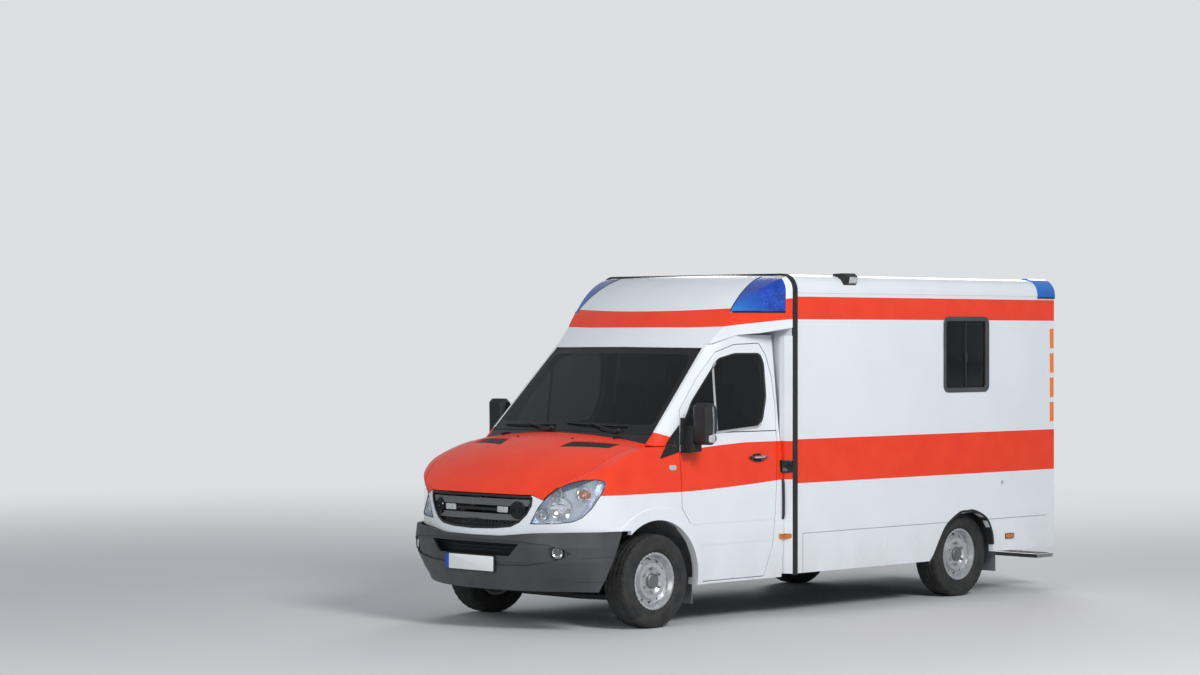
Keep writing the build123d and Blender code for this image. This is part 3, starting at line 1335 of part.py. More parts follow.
# Rear step under the doors
STEP_X = BACK_X - STEP_REACH
with BuildPart() as rear_step:
    add(block(STEP_X, BACK_X + 40, -900, 900, 250, 282))
    for y in (-RAIL_Y + RAIL_W / 2, RAIL_Y - RAIL_W / 2):
        add(block(BACK_X + 40, BACK_X + 640, y - 25, y + 25, 270, 310))
        add(block(BACK_X + 560, BACK_X + 620, y - 25, y + 25, 300, RAIL_TOP - RAIL_H))
        add(block(BACK_X + 0, BACK_X + 60, y - 25, y + 25, 262, 300))
save(rear_step.part, "rear_step")

# Exhaust and fuel tank on the rails
with BuildPart() as exhaust_pipe:
    with BuildSketch(Plane.YZ.offset(ahead(-2500))):
        with Locations((-560, 420)):
            Ellipse(120, 85)
    extrude(amount=600)
    with BuildSketch(Plane.YZ.offset(ahead(-3150))):
        with Locations((-560, 420)):
            Circle(32)
    extrude(amount=2450)
    with BuildSketch(Plane.XZ.offset(560)):
        with Locations((ahead(-3150), 420)):
            Circle(32)
    extrude(amount=BOX_HALF - 70 - 560)
    for x in (-2350, -2050):
        add(block(x - 15, x + 15, -560, -RAIL_Y, 500, 560))
save(exhaust_pipe.part, "exhaust_pipe")

with BuildPart() as fuel_tank:
    with BuildSketch(Plane.YZ.offset(ahead(-2750))):
        with Locations((RAIL_Y + 170, 460)):
            RectangleRounded(340, 220, 50)
    extrude(amount=800)
save(fuel_tank.part, "fuel_tank")
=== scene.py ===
# %% [markdown]
# A box-bodied van ambulance: a delivery van's cab with a wide rescue body behind it. The metal, glass and
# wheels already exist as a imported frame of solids. This notebook dresses that frame: it gives every solid
# a finish, and adds the pieces that are too fine for the solids, such as tread, lamps, handles and seals.
# Every length is in metres. x runs forward, y to the vehicle's left and z up from the road.

# %% The frame and its box
import math

import bmesh
import bpy
import numpy as np
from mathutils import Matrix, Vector


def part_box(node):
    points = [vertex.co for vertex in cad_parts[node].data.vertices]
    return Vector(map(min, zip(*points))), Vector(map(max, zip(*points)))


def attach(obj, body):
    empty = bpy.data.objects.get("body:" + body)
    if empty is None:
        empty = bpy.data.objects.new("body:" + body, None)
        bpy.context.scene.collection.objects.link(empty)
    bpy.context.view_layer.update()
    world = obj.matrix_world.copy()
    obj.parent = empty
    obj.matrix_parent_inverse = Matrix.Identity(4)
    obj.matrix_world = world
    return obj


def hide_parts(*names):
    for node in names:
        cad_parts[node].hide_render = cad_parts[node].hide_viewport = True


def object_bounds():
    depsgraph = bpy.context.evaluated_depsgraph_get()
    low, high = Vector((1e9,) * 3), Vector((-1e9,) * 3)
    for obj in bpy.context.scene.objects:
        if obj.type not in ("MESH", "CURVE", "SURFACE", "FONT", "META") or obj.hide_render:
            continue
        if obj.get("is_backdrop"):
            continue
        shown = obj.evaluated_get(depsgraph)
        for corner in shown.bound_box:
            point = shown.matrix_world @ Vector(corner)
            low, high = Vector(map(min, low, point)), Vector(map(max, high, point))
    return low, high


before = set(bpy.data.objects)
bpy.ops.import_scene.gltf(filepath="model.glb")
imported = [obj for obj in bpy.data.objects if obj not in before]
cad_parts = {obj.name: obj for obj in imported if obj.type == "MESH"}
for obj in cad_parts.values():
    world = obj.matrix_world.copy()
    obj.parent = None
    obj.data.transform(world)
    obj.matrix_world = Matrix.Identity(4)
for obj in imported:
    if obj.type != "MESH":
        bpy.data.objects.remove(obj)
cad_low, cad_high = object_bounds()
print("solid model reaches from", [round(v, 3) for v in cad_low], "to", [round(v, 3) for v in cad_high])

# %% [markdown]
# Most places on a vehicle are measured from the front axle, so that is the ruler here too. The wheelbase
# and the half track are the two numbers that tie the wheels, arches and running gear together.

# %% Lengths that many pieces share
FRONT_AXLE = 2.023
REAR_AXLE = FRONT_AXLE - 3.665
WHEEL_Z = 0.350
HALF_TRACK = 0.855
BOX_HALF = 1.050
BOX_FRONT = FRONT_AXLE - 1.489
BOX_BACK = FRONT_AXLE - 4.860
SIDES = {"left": 1.0, "right": -1.0}


def ahead(x):
    """The place of a point x metres in front of the front axle: the axle's own place plus x."""
    return FRONT_AXLE + x


# %% [markdown]
# Every new piece is a surface worked out as a whole array of points. A grid of points becomes a skin of
# four-sided faces. A closed direction joins its last line to its first, and a line that shrinks to one
# point, such as the pole of a dome, is merged afterwards, so that the skin has no hole and no double.

# %% From arrays to a mesh
def xyz(x, y, z):
    """Points from three coordinates. One that all the points share may be a single number."""
    return np.stack(np.broadcast_arrays(x, y, z), axis=-1)


def skin(rows, columns, close_rows=False, close_columns=False):
    """Four-sided faces over a rows x columns grid: each joins a point to its next in both directions."""
    row = np.arange(rows if close_rows else rows - 1)
    column = np.arange(columns if close_columns else columns - 1)
    r, c = np.meshgrid(row, column, indexing="ij")
    r2, c2 = (r + 1) % rows, (c + 1) % columns
    corners = [r * columns + c, r2 * columns + c, r2 * columns + c2, r * columns + c2]
    return np.stack(corners, axis=-1).reshape(-1, 4)


def tidy_mesh(mesh, turn_outward=True, smooth_below=35.0):
    """Merges doubled points, turns the faces outward, and shades smooth below the given crease angle."""
    work = bmesh.new()
    work.from_mesh(mesh)
    bmesh.ops.remove_doubles(work, verts=work.verts, dist=2e-5)
    bmesh.ops.dissolve_degenerate(work, dist=1e-6, edges=work.edges)
    if turn_outward:
        bmesh.ops.recalc_face_normals(work, faces=work.faces)
    work.to_mesh(mesh)
    work.free()
    mesh.polygons.foreach_set("use_smooth", np.ones(len(mesh.polygons), bool))
    mesh.set_sharp_from_angle(angle=math.radians(smooth_below))


def piece(name, parts, finish, body, stands_for=(), turn_outward=True, smooth_below=35.0):
    """One object from a list of (points, faces) parts, with its finish.

    It rides on a body, and it may stand for nodes of the solid model.
    """
    points, faces, start = [], [], 0
    for part_points, part_faces in parts:
        part_points = np.asarray(part_points, float).reshape(-1, 3)
        points += part_points.tolist()
        faces += [[int(i) + start for i in face] for face in part_faces]
        start += len(part_points)
    mesh = bpy.data.meshes.new(name)
    mesh.from_pydata(points, [], faces)
    tidy_mesh(mesh, turn_outward, smooth_below)
    mesh.materials.append(finish)
    thing = bpy.data.objects.new(name, mesh)
    bpy.context.scene.collection.objects.link(thing)
    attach(thing, body)
    if stands_for:
        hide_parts(*stands_for)
    return thing


# %% [markdown]
# Three kinds of surface make nearly every part of a vehicle: turned forms such as wheels and lamp bowls,
# sections carried along a path such as seals and tubes, and plates with a rounded edge such as covers.

# %% Turned forms, swept sections and rounded plates
def basis(axis):
    """An axis as a unit direction, and two more that are square to it and to each other."""
    axis = np.asarray(axis, float) / np.linalg.norm(axis)
    helper = np.array([0.0, 0.0, 1.0]) if abs(axis[2]) < 0.9 else np.array([1.0, 0.0, 0.0])
    first = np.cross(helper, axis)
    first /= np.linalg.norm(first)
    return axis, first, np.cross(axis, first)


def lathe(profile, origin, axis, sides=48, closed=False):
    """A profile of (reach along the axis, radius) turned once round the axis that leaves the origin."""
    axis, first, second = basis(axis)
    profile = np.asarray(profile, float)
    angle = np.linspace(0, 2 * np.pi, sides, endpoint=False)
    spoke = np.cos(angle)[:, None] * first + np.sin(angle)[:, None] * second
    points = profile[:, None, :1] * axis + profile[:, None, 1:] * spoke[None]
    return np.asarray(origin, float) + points, skin(len(profile), sides, close_rows=closed, close_columns=True)


def circle(radius, sides=12, squash=1.0):
    """Section points on a circle of the given radius, flattened in its second direction by squash."""
    angle = np.linspace(0, 2 * np.pi, sides, endpoint=False)
    return np.stack([radius * np.cos(angle), radius * squash * np.sin(angle)], axis=1)


def sweep(path, section, up=(0, 0, 1), loop=False, flare=None):
    """A closed section carried along a path: across points square to path and up, lift square to both."""
    path, section = np.asarray(path, float), np.asarray(section, float)
    if loop:
        along = np.roll(path, -1, axis=0) - np.roll(path, 1, axis=0)
    else:
        along = np.gradient(path, axis=0)
    along /= np.linalg.norm(along, axis=1)[:, None]
    across = np.cross(np.broadcast_to(np.asarray(up, float), path.shape), along)
    across /= np.linalg.norm(across, axis=1)[:, None]
    lift = np.cross(along, across)
    flare = np.ones(len(path)) if flare is None else np.asarray(flare, float)
    points = path[:, None] + flare[:, None, None] * (
        section[None, :, :1] * across[:, None] + section[None, :, 1:] * lift[:, None]
    )
    faces = skin(len(path), len(section), close_rows=loop, close_columns=True).tolist()
    if not loop:
        last = (len(path) - 1) * len(section)
        faces += [list(range(len(section)))[::-1], list(range(last, last + len(section)))]
    return points, faces


def spread_along(points, count, loop=False):
    """Points spread evenly by length along a line of straight runs, which may be a loop."""
    points = np.asarray(points, float)
    if loop:
        points = np.vstack([points, points[:1]])
    span = np.linalg.norm(np.diff(points, axis=0), axis=1)
    reach = np.concatenate([[0.0], np.cumsum(span)])
    at = np.linspace(0, reach[-1], count, endpoint=not loop)
    return np.stack([np.interp(at, reach, points[:, k]) for k in range(points.shape[1])], axis=1)


def rounded_outline(corners, radius, steps=6):
    """A closed outline whose corners are quarter-like curves: each blends its two sides by a parabola."""
    corners = np.asarray(corners, float)
    radius = np.broadcast_to(np.asarray(radius, float), (len(corners),))[:, None]
    to_last = np.roll(corners, 1, axis=0) - corners
    to_next = np.roll(corners, -1, axis=0) - corners
    last_len = np.linalg.norm(to_last, axis=1)[:, None]
    next_len = np.linalg.norm(to_next, axis=1)[:, None]
    begin = corners + to_last / last_len * np.minimum(radius, last_len * 0.45)
    end = corners + to_next / next_len * np.minimum(radius, next_len * 0.45)
    t = np.linspace(0, 1, steps)[None, :, None]
    curve = (1 - t) ** 2 * begin[:, None] + 2 * t * (1 - t) * corners[:, None] + t**2 * end[:, None]
    return curve.reshape(-1, 2)


def inward(outline):
    """Unit directions that point into a counter-clockwise closed outline, square to its local run."""
    run = np.roll(outline, -1, axis=0) - np.roll(outline, 1, axis=0)
    run /= np.maximum(np.linalg.norm(run, axis=1)[:, None], 1e-9)
    return np.stack([-run[:, 1], run[:, 0]], axis=1)


def plate(outline, place, depth, edge, dome=0.0):
    """A plate from a closed outline: its rim rounds over by edge at both faces and its front may dome.

    place(outline points, height) says where a flat point goes, with height from 0 at the back to depth in front.
    """
    outline = np.asarray(outline, float)
    area = np.sum(outline[:, 0] * np.roll(outline[:, 1], -1) - np.roll(outline[:, 0], -1) * outline[:, 1])
    outline = outline if area > 0 else outline[::-1]
    inner = inward(outline)
    turn = np.linspace(0, np.pi / 2, 3)
    cut = np.concatenate([edge * (1 - np.sin(turn)), edge * (1 - np.cos(turn))])
    level = np.concatenate([edge * (1 - np.cos(turn)), depth - edge * (1 - np.sin(turn))])
    rings = [place(outline + inner * c, h) for c, h in zip(cut, level)]
    count = len(outline)
    if dome:
        centre = outline.mean(axis=0)
        for share in (0.75, 0.5, 0.25, 0.0):
            ring = centre + (outline + inner * edge - centre) * share
            rings.append(place(ring, depth + dome * (1 - share**2)))
    faces = skin(len(rings), count, close_columns=True).tolist()
    if not dome:
        faces.append(list(range((len(rings) - 1) * count, len(rings) * count)))
    faces.append(list(range(count))[::-1])
    return np.concatenate(rings), faces


def on_side(side, y):
    """A place rule for a plate on a vehicle's side: outline (x, z), with height standing outwards from y."""
    return lambda flat, height: xyz(flat[:, 0], side * (y + height), flat[:, 1])


def on_front(x):
    """A place rule for a plate on a front: outline (y, z), with height standing forwards from x."""
    return lambda flat, height: xyz(x + height, flat[:, 0], flat[:, 1])


def on_top(z):
    """A place rule for a plate that lies flat: outline (x, y), with height standing upwards from z."""
    return lambda flat, height: xyz(flat[:, 0], flat[:, 1], z + height)


def on_back(x):
    """A place rule for a plate on the rear: outline (y, z), with height standing backwards from x."""
    return lambda flat, height: xyz(x - height, flat[:, 0], flat[:, 1])


def rectangle(low, high, radius=0.0, steps=5):
    """A closed outline of a rectangle between two corners, its corners rounded."""
    (a, b), (c, d) = low, high
    corners = [(a, b), (c, b), (c, d), (a, d)]
    return rounded_outline(corners, radius, steps) if radius else np.asarray(corners, float)


# %% [markdown]
# The photograph was taken from about 22 metres away with a long lens, a little above head height and
# almost level, looking at the left front corner. A long lens flattens the vehicle, and that look matters
# more than any single detail, so the camera comes first.

# %% Camera
camera_data = bpy.data.cameras.new("roadside_camera")
camera_data.lens = 84.5
camera_data.sensor_width = 36.0
camera_data.clip_end = 200.0
camera = bpy.data.objects.new("roadside_camera", camera_data)
camera.location = (17.112, 15.445, 2.178)
camera.rotation_euler = (math.radians(89.95), 0.0, math.radians(134.97))
bpy.context.scene.collection.objects.link(camera)
bpy.context.scene.camera = camera

# %% [markdown]
# A vehicle is shown off by what it reflects. A plain studio has a pale floor that fades into a pale
# backdrop, one broad lamp high over the vehicle's left side for form, and weaker ones that open the shadows.

# %% Studio floor, lamps and world
BACKDROP = (0.72, 0.74, 0.765, 1)


def material(name):
    """An empty node material and its tree, ready for nodes."""
    finish = bpy.data.materials.new(name)
    finish.use_nodes = True
    finish.node_tree.nodes.clear()
    return finish, finish.node_tree


def studio_floor():
    """A flat floor 120 metres across, outside the vehicle. Far off, the camera sees it fade to the backdrop."""
    reach = 60.0
    corner = np.array([[-reach, -reach, 0], [reach, -reach, 0], [reach, reach, 0], [-reach, reach, 0]])
    mesh = bpy.data.meshes.new("studio_floor")
    mesh.from_pydata(corner.tolist(), [], [[0, 1, 2, 3]])
    finish, tree = material("pale_floor")
    new, link = tree.nodes.new, tree.links.new
    shader, paper = new("ShaderNodeBsdfPrincipled"), new("ShaderNodeEmission")
    shader.inputs["Base Color"].default_value = (0.62, 0.63, 0.64, 1)
    shader.inputs["Roughness"].default_value = 0.75
    paper.inputs["Color"].default_value = BACKDROP
    where, reach_out, fade = new("ShaderNodeTexCoord"), new("ShaderNodeVectorMath"), new("ShaderNodeMapRange")
    reach_out.operation = "LENGTH"
    fade.interpolation_type = "SMOOTHSTEP"
    fade.inputs["From Min"].default_value, fade.inputs["From Max"].default_value = 4.5, 19.0
    seen, both, blend = new("ShaderNodeLightPath"), new("ShaderNodeMath"), new("ShaderNodeMixShader")
    both.operation = "MULTIPLY"
    link(where.outputs["Object"], reach_out.inputs[0])
    link(reach_out.outputs["Value"], fade.inputs["Value"])
    link(fade.outputs[0], both.inputs[0])
    link(seen.outputs["Is Camera Ray"], both.inputs[1])
    link(both.outputs[0], blend.inputs[0])
    link(shader.outputs[0], blend.inputs[1])
    link(paper.outputs[0], blend.inputs[2])
    link(blend.outputs[0], new("ShaderNodeOutputMaterial").inputs["Surface"])
    mesh.materials.append(finish)
    floor = bpy.data.objects.new("studio_floor", mesh)
    bpy.context.scene.collection.objects.link(floor)
    floor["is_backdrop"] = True


studio_floor()

LAMPS = (
    # name, place, aimed at, size, watts
    ("key_lamp", (4.0, 13.0, 10.0), (0.5, 0.0, 1.0), 5.0, 1500),
    ("front_fill", (15.0, 3.0, 6.0), (1.5, 0.0, 1.0), 7.0, 520),
    ("rear_fill", (-13.0, -9.0, 8.0), (-1.0, 0.0, 1.2), 8.0, 700),
)
for name, place, target, size, watts in LAMPS:
    lamp_data = bpy.data.lights.new(name, "AREA")
    lamp_data.shape, lamp_data.size, lamp_data.energy = "DISK", size, watts
    lamp = bpy.data.objects.new(name, lamp_data)
    lamp.location = place
    lamp.rotation_euler = (Vector(target) - Vector(place)).to_track_quat("-Z", "Y").to_euler()
    bpy.context.scene.collection.objects.link(lamp)

world = bpy.data.worlds.new("studio_air")
bpy.context.scene.world = world
world.use_nodes = True
world.node_tree.nodes.clear()
new, link = world.node_tree.nodes.new, world.node_tree.links.new
sky, backdrop = new("ShaderNodeBackground"), new("ShaderNodeBackground")
sky.inputs["Color"].default_value = (0.86, 0.93, 1.0, 1)
sky.inputs["Strength"].default_value = 0.36
backdrop.inputs["Color"].default_value = BACKDROP
ray, choose = new("ShaderNodeLightPath"), new("ShaderNodeMixShader")
link(ray.outputs["Is Camera Ray"], choose.inputs[0])
link(sky.outputs[0], choose.inputs[1])
link(backdrop.outputs[0], choose.inputs[2])
link(choose.outputs[0], new("ShaderNodeOutputWorld").inputs["Surface"])
bpy.context.scene.view_settings.view_transform = "Standard"
print(len(LAMPS), "lamps light the studio")

# %% [markdown]
# A finish is more than a colour. Under its gloss, paint has a faint ripple, and moulded plastic has a fine
# grain. Dust gathers low down. Each of these is a number that varies over the surface. To keep such sums
# readable, a Field stands for one varying number, and adding or comparing Fields lays the Math nodes.

# %% Fields: numbers that vary over a surface
class Field:
    """One varying number in a node tree; sums and comparisons of Fields add the Math nodes that do them."""

    def __init__(self, tree, socket):
        self.tree, self.socket = tree, socket

    def sum_node(self, operation, *others, clamp=False):
        """A new Field: the Math node's operation on this Field and the others."""
        node = self.tree.nodes.new("ShaderNodeMath")
        node.operation, node.use_clamp = operation, clamp
        for slot_index, value in enumerate((self,) + others):
            if isinstance(value, Field):
                self.tree.links.new(value.socket, node.inputs[slot_index])
            else:
                node.inputs[slot_index].default_value = value
        return Field(self.tree, node.outputs[0])

    def __add__(self, other):
        return self.sum_node("ADD", other)

    def __sub__(self, other):
        return self.sum_node("SUBTRACT", other)

    def __mul__(self, other):
        return self.sum_node("MULTIPLY", other)

    def __gt__(self, other):
        return self.sum_node("GREATER_THAN", other)

    def __lt__(self, other):
        return self.sum_node("LESS_THAN", other)

    def __abs__(self):
        return self.sum_node("ABSOLUTE")

    def either(self, other):
        """1 where this or the other is 1."""
        return self.sum_node("MAXIMUM", other)

    def wave(self):
        """The sine of this Field."""
        return self.sum_node("SINE")

    def scaled(self, low, high, to_low=0.0, to_high=1.0):
        """This Field carried from one range to another in a straight line, held at the ends."""
        node = self.tree.nodes.new("ShaderNodeMapRange")
        self.tree.links.new(self.socket, node.inputs["Value"])
        for key, value in (("From Min", low), ("From Max", high), ("To Min", to_low), ("To Max", to_high)):
            node.inputs[key].default_value = value
        return Field(self.tree, node.outputs[0])


def place_fields(tree):
    """x, y and z in metres, read from Object coordinates: every piece's object sits at the origin."""
    where = tree.nodes.new("ShaderNodeTexCoord")
    apart = tree.nodes.new("ShaderNodeSeparateXYZ")
    tree.links.new(where.outputs["Object"], apart.inputs[0])
    return [Field(tree, apart.outputs[k]) for k in range(3)]


def noise(tree, scale, detail=3.0, stretch=None):
    """Cloudy noise over the surface, scale clouds to the metre, as a Field from 0 to 1."""
    where = tree.nodes.new("ShaderNodeTexCoord")
    cloud = tree.nodes.new("ShaderNodeTexNoise")
    cloud.inputs["Scale"].default_value = scale
    cloud.inputs["Detail"].default_value = detail
    if stretch:
        turn = tree.nodes.new("ShaderNodeMapping")
        turn.inputs["Scale"].default_value = stretch
        tree.links.new(where.outputs["Object"], turn.inputs[0])
        tree.links.new(turn.outputs[0], cloud.inputs["Vector"])
    else:
        tree.links.new(where.outputs["Object"], cloud.inputs["Vector"])
    return Field(tree, cloud.outputs["Fac"])


def cells(tree, scale):
    """Distance to scattered points, scale to the metre, as a Field: small grains, pebbles or facets."""
    where = tree.nodes.new("ShaderNodeTexCoord")
    grain = tree.nodes.new("ShaderNodeTexVoronoi")
    grain.inputs["Scale"].default_value = scale
    tree.links.new(where.outputs["Object"], grain.inputs["Vector"])
    return Field(tree, grain.outputs["Distance"])


def mix_colour(tree, share, first, second):
    """A colour that goes from first to second as the Field share goes from 0 to 1."""
    node = tree.nodes.new("ShaderNodeMix")
    node.data_type = "RGBA"
    tree.links.new(share.socket, node.inputs["Factor"])
    for key, value in ((6, first), (7, second)):
        if isinstance(value, tuple):
            node.inputs[key].default_value = (*value, 1.0)
        else:
            tree.links.new(value, node.inputs[key])
    return node.outputs[2]


def shader_with(tree, colour=None, rough=None, height=None, depth=0.001, **plain):
    """The Principled shader: linked colour, roughness and bump where given, plain numbers on its sockets."""
    shader = tree.nodes.new("ShaderNodeBsdfPrincipled")
    for key, value in plain.items():
        shader.inputs[key.replace("_", " ")].default_value = value
    if isinstance(colour, tuple):
        shader.inputs["Base Color"].default_value = (*colour, 1.0)
    elif colour is not None:
        tree.links.new(colour, shader.inputs["Base Color"])
    if isinstance(rough, Field):
        tree.links.new(rough.socket, shader.inputs["Roughness"])
    elif rough is not None:
        shader.inputs["Roughness"].default_value = rough
    if height is not None:
        bump = tree.nodes.new("ShaderNodeBump")
        bump.inputs["Distance"].default_value = depth
        tree.links.new(height.socket, bump.inputs["Height"])
        tree.links.new(bump.outputs[0], shader.inputs["Normal"])
    output = tree.nodes.new("ShaderNodeOutputMaterial")
    tree.links.new(shader.outputs[0], output.inputs["Surface"])
    return shader


# %% [markdown]
# The vehicle is white, and its bands are bright red-orange film. Paint is never quite even: film and
# lacquer ripple slightly, which is what makes a long reflection wander. Road dust greys the lowest part of
# the sides. The bands are drawn as sums on place: a point is red where it lies between two heights.

# %% Paint colours and what all the painted finishes share
WHITE = (0.80, 0.835, 0.87)
ROAD_DUST = (0.42, 0.40, 0.37)
LUMINOUS_RED = (0.93, 0.058, 0.016)
DEEPER_RED = (0.88, 0.046, 0.013)
REFLECTIVE_ORANGE = (0.95, 0.22, 0.03)
BARE_BLACK = (0.016, 0.016, 0.017)


def white_with_bands(name, red_mask, third_mask=None, third_colour=REFLECTIVE_ORANGE):
    """White lacquer with red film where the mask is 1, and a third colour where its own mask is 1.

    Dust gathers low down, and a slow ripple runs through lacquer and film alike.
    """
    finish, tree = material(name)
    x, y, z = place_fields(tree)
    cloud = noise(tree, 2.2)
    film = mix_colour(tree, noise(tree, 5.0).scaled(0.3, 0.7), LUMINOUS_RED, DEEPER_RED)
    clean = mix_colour(tree, cloud.scaled(0.35, 0.65), WHITE, tuple(0.965 * c for c in WHITE))
    streak = noise(tree, 3.0, 5.0, stretch=(1.0, 1.0, 0.25))
    dust = z.scaled(0.72, 0.28) * streak.scaled(0.25, 0.85) * 0.42
    colour = mix_colour(tree, dust, clean, ROAD_DUST)
    colour = mix_colour(tree, red_mask(x, y, z), colour, film)
    if third_mask:
        colour = mix_colour(tree, third_mask(x, y, z), colour, third_colour)
    ripple = noise(tree, 5.0, 1.0)
    rough = (dust * 0.5 + noise(tree, 4.0).scaled(0.3, 0.7, 0.16, 0.24)).sum_node("MINIMUM", 0.6)
    shader_with(
        tree, colour, rough, ripple, 0.0016, Coat_Weight=0.40, Coat_Roughness=0.07, Specular_IOR_Level=0.35
    )
    return finish


# %% [markdown]
# On the cab, the band's lower edge is level over the wing and then rises towards the rear of the door.
# Everything above it is red on the wing and hood, back to the door's front edge. On the door the band also
# has an upper edge. The red ends at the foot of the windscreen, and the windscreen frame is white again.

# %% Cab paint
def cab_red(x, y, z):
    """1 on the cab's red parts: the wing and nose above the edge, the pillar's foot, and the door's band."""
    back = x.scaled(ahead(-0.24), ahead(-1.40)).sum_node("POWER", 1.5)
    low_edge = back * 0.053 + 1.004
    rear = x.scaled(ahead(-0.27), ahead(-1.00)).sum_node("POWER", 0.6)
    high_edge = rear * 0.056 + 1.299
    on_door = x < ahead(-0.262)
    pillar_edge = x.scaled(ahead(0.10), ahead(-0.26), 1.50, 1.39)
    top = on_door * high_edge + (on_door * -1.0 + 1.0) * pillar_edge
    return (z > low_edge) * (z < top)


def bare_plastic(x, y, z):
    """1 on the strip between hood and windscreen, on the doors' inner side, and on the cheeks by the dash."""
    scuttle = (abs(y) < 0.868) * (z > 1.36) * (z < 1.456) * (x > ahead(-0.17))
    lining = (abs(y) < 0.936) * (z < 1.44) * (z > 0.60) * (x < ahead(-0.262)) * (x > ahead(-1.375))
    cheek = (abs(y) < 0.905) * (z > 1.28) * (z < 1.44) * (x < ahead(-0.12)) * (x > ahead(-0.265))
    shelf = (abs(y) < 0.905) * (z > 1.28) * (z < 1.3525) * (x < ahead(-0.045)) * (x > ahead(-0.13))
    return scuttle.either(lining).either(cheek).either(shelf)


cab_paint = white_with_bands("cab_white_and_red", cab_red, bare_plastic, BARE_BLACK)
plain_white = white_with_bands("cap_base_white", lambda x, y, z: z * 0.0)

# %% [markdown]
# The rescue body carries the same belt as a straight band, and a second one just under its roof. At its
# rear edge a row of orange reflectors climbs from the belt to the upper band. The rear doors carry the
# belt on, so that the vehicle is marked all round.

# %% Rescue body paint
BELT = (1.025, 1.367)
TOP_BAND = (2.301, 2.478)


def body_red(x, y, z):
    """1 between either band's two heights, on the outer faces of the sides and the back."""
    belt = (z > BELT[0]) * (z < BELT[1])
    top = (z > TOP_BAND[0]) * (z < TOP_BAND[1])
    outer = (abs(y) > BOX_HALF - 0.015).either(x < BOX_BACK + 0.012)
    return belt.either(top) * outer * (x < BOX_FRONT - 0.004)


def rear_reflectors(x, y, z):
    """1 on a column of dashes 0.17 tall and 0.21 apart on the last 60 mm of each side."""
    dash = (z * (1 / 0.21) + 0.17).sum_node("FRACT") < 0.80
    column = (x < BOX_BACK + 0.062) * (x > BOX_BACK + 0.006) * (abs(y) > BOX_HALF - 0.03)
    return column * dash * (z > BELT[1] + 0.03) * (z < TOP_BAND[0] - 0.03)


body_paint = white_with_bands("rescue_body_white_and_red", body_red, rear_reflectors)

# %% [markdown]
# The roof cap over the cab is one white moulding with a narrow red band round its nose. The band rises as
# it comes back towards the rescue body, to meet that body's upper band.

# %% Cap paint and hood film
def cap_red(x, y, z):
    """1 in a band 0.12 wide whose height climbs from the nose to the back and widens a little."""
    climb = x.scaled(ahead(-0.80), ahead(-1.42))
    low_edge = climb * 0.064 + 2.237
    high_edge = climb * 0.110 + 2.354
    return (z > low_edge) * (z < high_edge)


cap_paint = white_with_bands("roof_cap_white_and_red", cap_red)


def collar_red(x, y, z):
    """1 where either the cab's or the rescue body's bands are, on the collar's outer sides alone."""
    return cab_red(x, y, z).either(body_red(x, y, z)) * (abs(y) > 0.93) * (x > ahead(-1.485))


collar_paint = white_with_bands("collar_white_and_red", collar_red)


def hood_film():
    """Red film over the hood, a shade deeper in slow clouds, with a slow ripple; the hinge eyes stay black."""
    finish, tree = material("hood_red_film")
    x, y, z = place_fields(tree)
    eyes = (abs(abs(y) - 0.612) < 0.0125) * (x < ahead(0.0945)) * (z > 1.400)
    cloud = noise(tree, 3.0)
    colour = mix_colour(tree, cloud.scaled(0.3, 0.7), LUMINOUS_RED, DEEPER_RED)
    colour = mix_colour(tree, eyes, colour, (0.013, 0.013, 0.014))
    shader_with(
        tree, colour, cloud.scaled(0.3, 0.7, 0.24, 0.32), noise(tree, 6.0, 1.0), 0.0016,
        Coat_Weight=0.15, Coat_Roughness=0.10, Specular_IOR_Level=0.22,
    )
    return finish


hood_paint = hood_film()

# %% [markdown]
# Moulded plastic is matt because its tool was etched with a fine leather grain. Two sizes of cell give
# that grain as bump, and a slow cloud varies the grey, more where hands and brushes have polished it.

# %% Plastics, rubber and cloth
def moulded(name, colour, rough=0.5, grain=900.0, depth=0.00012, fade=0.25):
    """Grained plastic: cells at two scales as bump, a slow cloud in the colour, a second in the gloss."""
    finish, tree = material(name)
    paler = tuple(min(1.0, c * (1 + fade) + 0.004) for c in colour)
    tint = mix_colour(tree, noise(tree, 4.0, 4.0).scaled(0.35, 0.7), colour, paler)
    height = cells(tree, grain) + cells(tree, grain * 0.37) * 0.6
    shader_with(tree, tint, noise(tree, 9.0).scaled(0.3, 0.7, rough - 0.06, rough + 0.08), height, depth)
    return finish


bumper_plastic = moulded("bumper_dark_grey", (0.050, 0.052, 0.057), 0.46, 700.0)
black_plastic = moulded("grained_black", (0.014, 0.014, 0.015), 0.42)
gloss_black = moulded("smooth_black", (0.008, 0.008, 0.009), 0.16, 300.0, 0.00002)
window_grey = moulded("window_frame_grey", (0.062, 0.060, 0.062), 0.36, 900.0, 0.00006)
dash_plastic = moulded("dashboard_grey", (0.030, 0.031, 0.034), 0.62, 500.0, 0.00025)
pale_plastic = moulded("pale_grey_trim", (0.38, 0.39, 0.40), 0.45)
seal_rubber = moulded("seal_rubber", (0.012, 0.012, 0.013), 0.68, 1500.0, 0.00006)
vinyl_floor = moulded("vinyl_floor", (0.16, 0.17, 0.18), 0.55, 260.0, 0.0003)


def tyre_finish():
    """Black rubber, brown-grey with dust on the sidewall and worn matt on the tread, with fine moulding lines."""
    finish, tree = material("road_tyre_rubber")
    worn = noise(tree, 14.0, 6.0)
    colour = mix_colour(tree, worn.scaled(0.35, 0.75), BARE_BLACK, (0.045, 0.043, 0.040))
    height = noise(tree, 260.0, 3.0) * 0.6 + cells(tree, 600.0) * 0.4
    shader_with(tree, colour, worn.scaled(0.3, 0.7, 0.72, 0.86), height, 0.00035)
    return finish


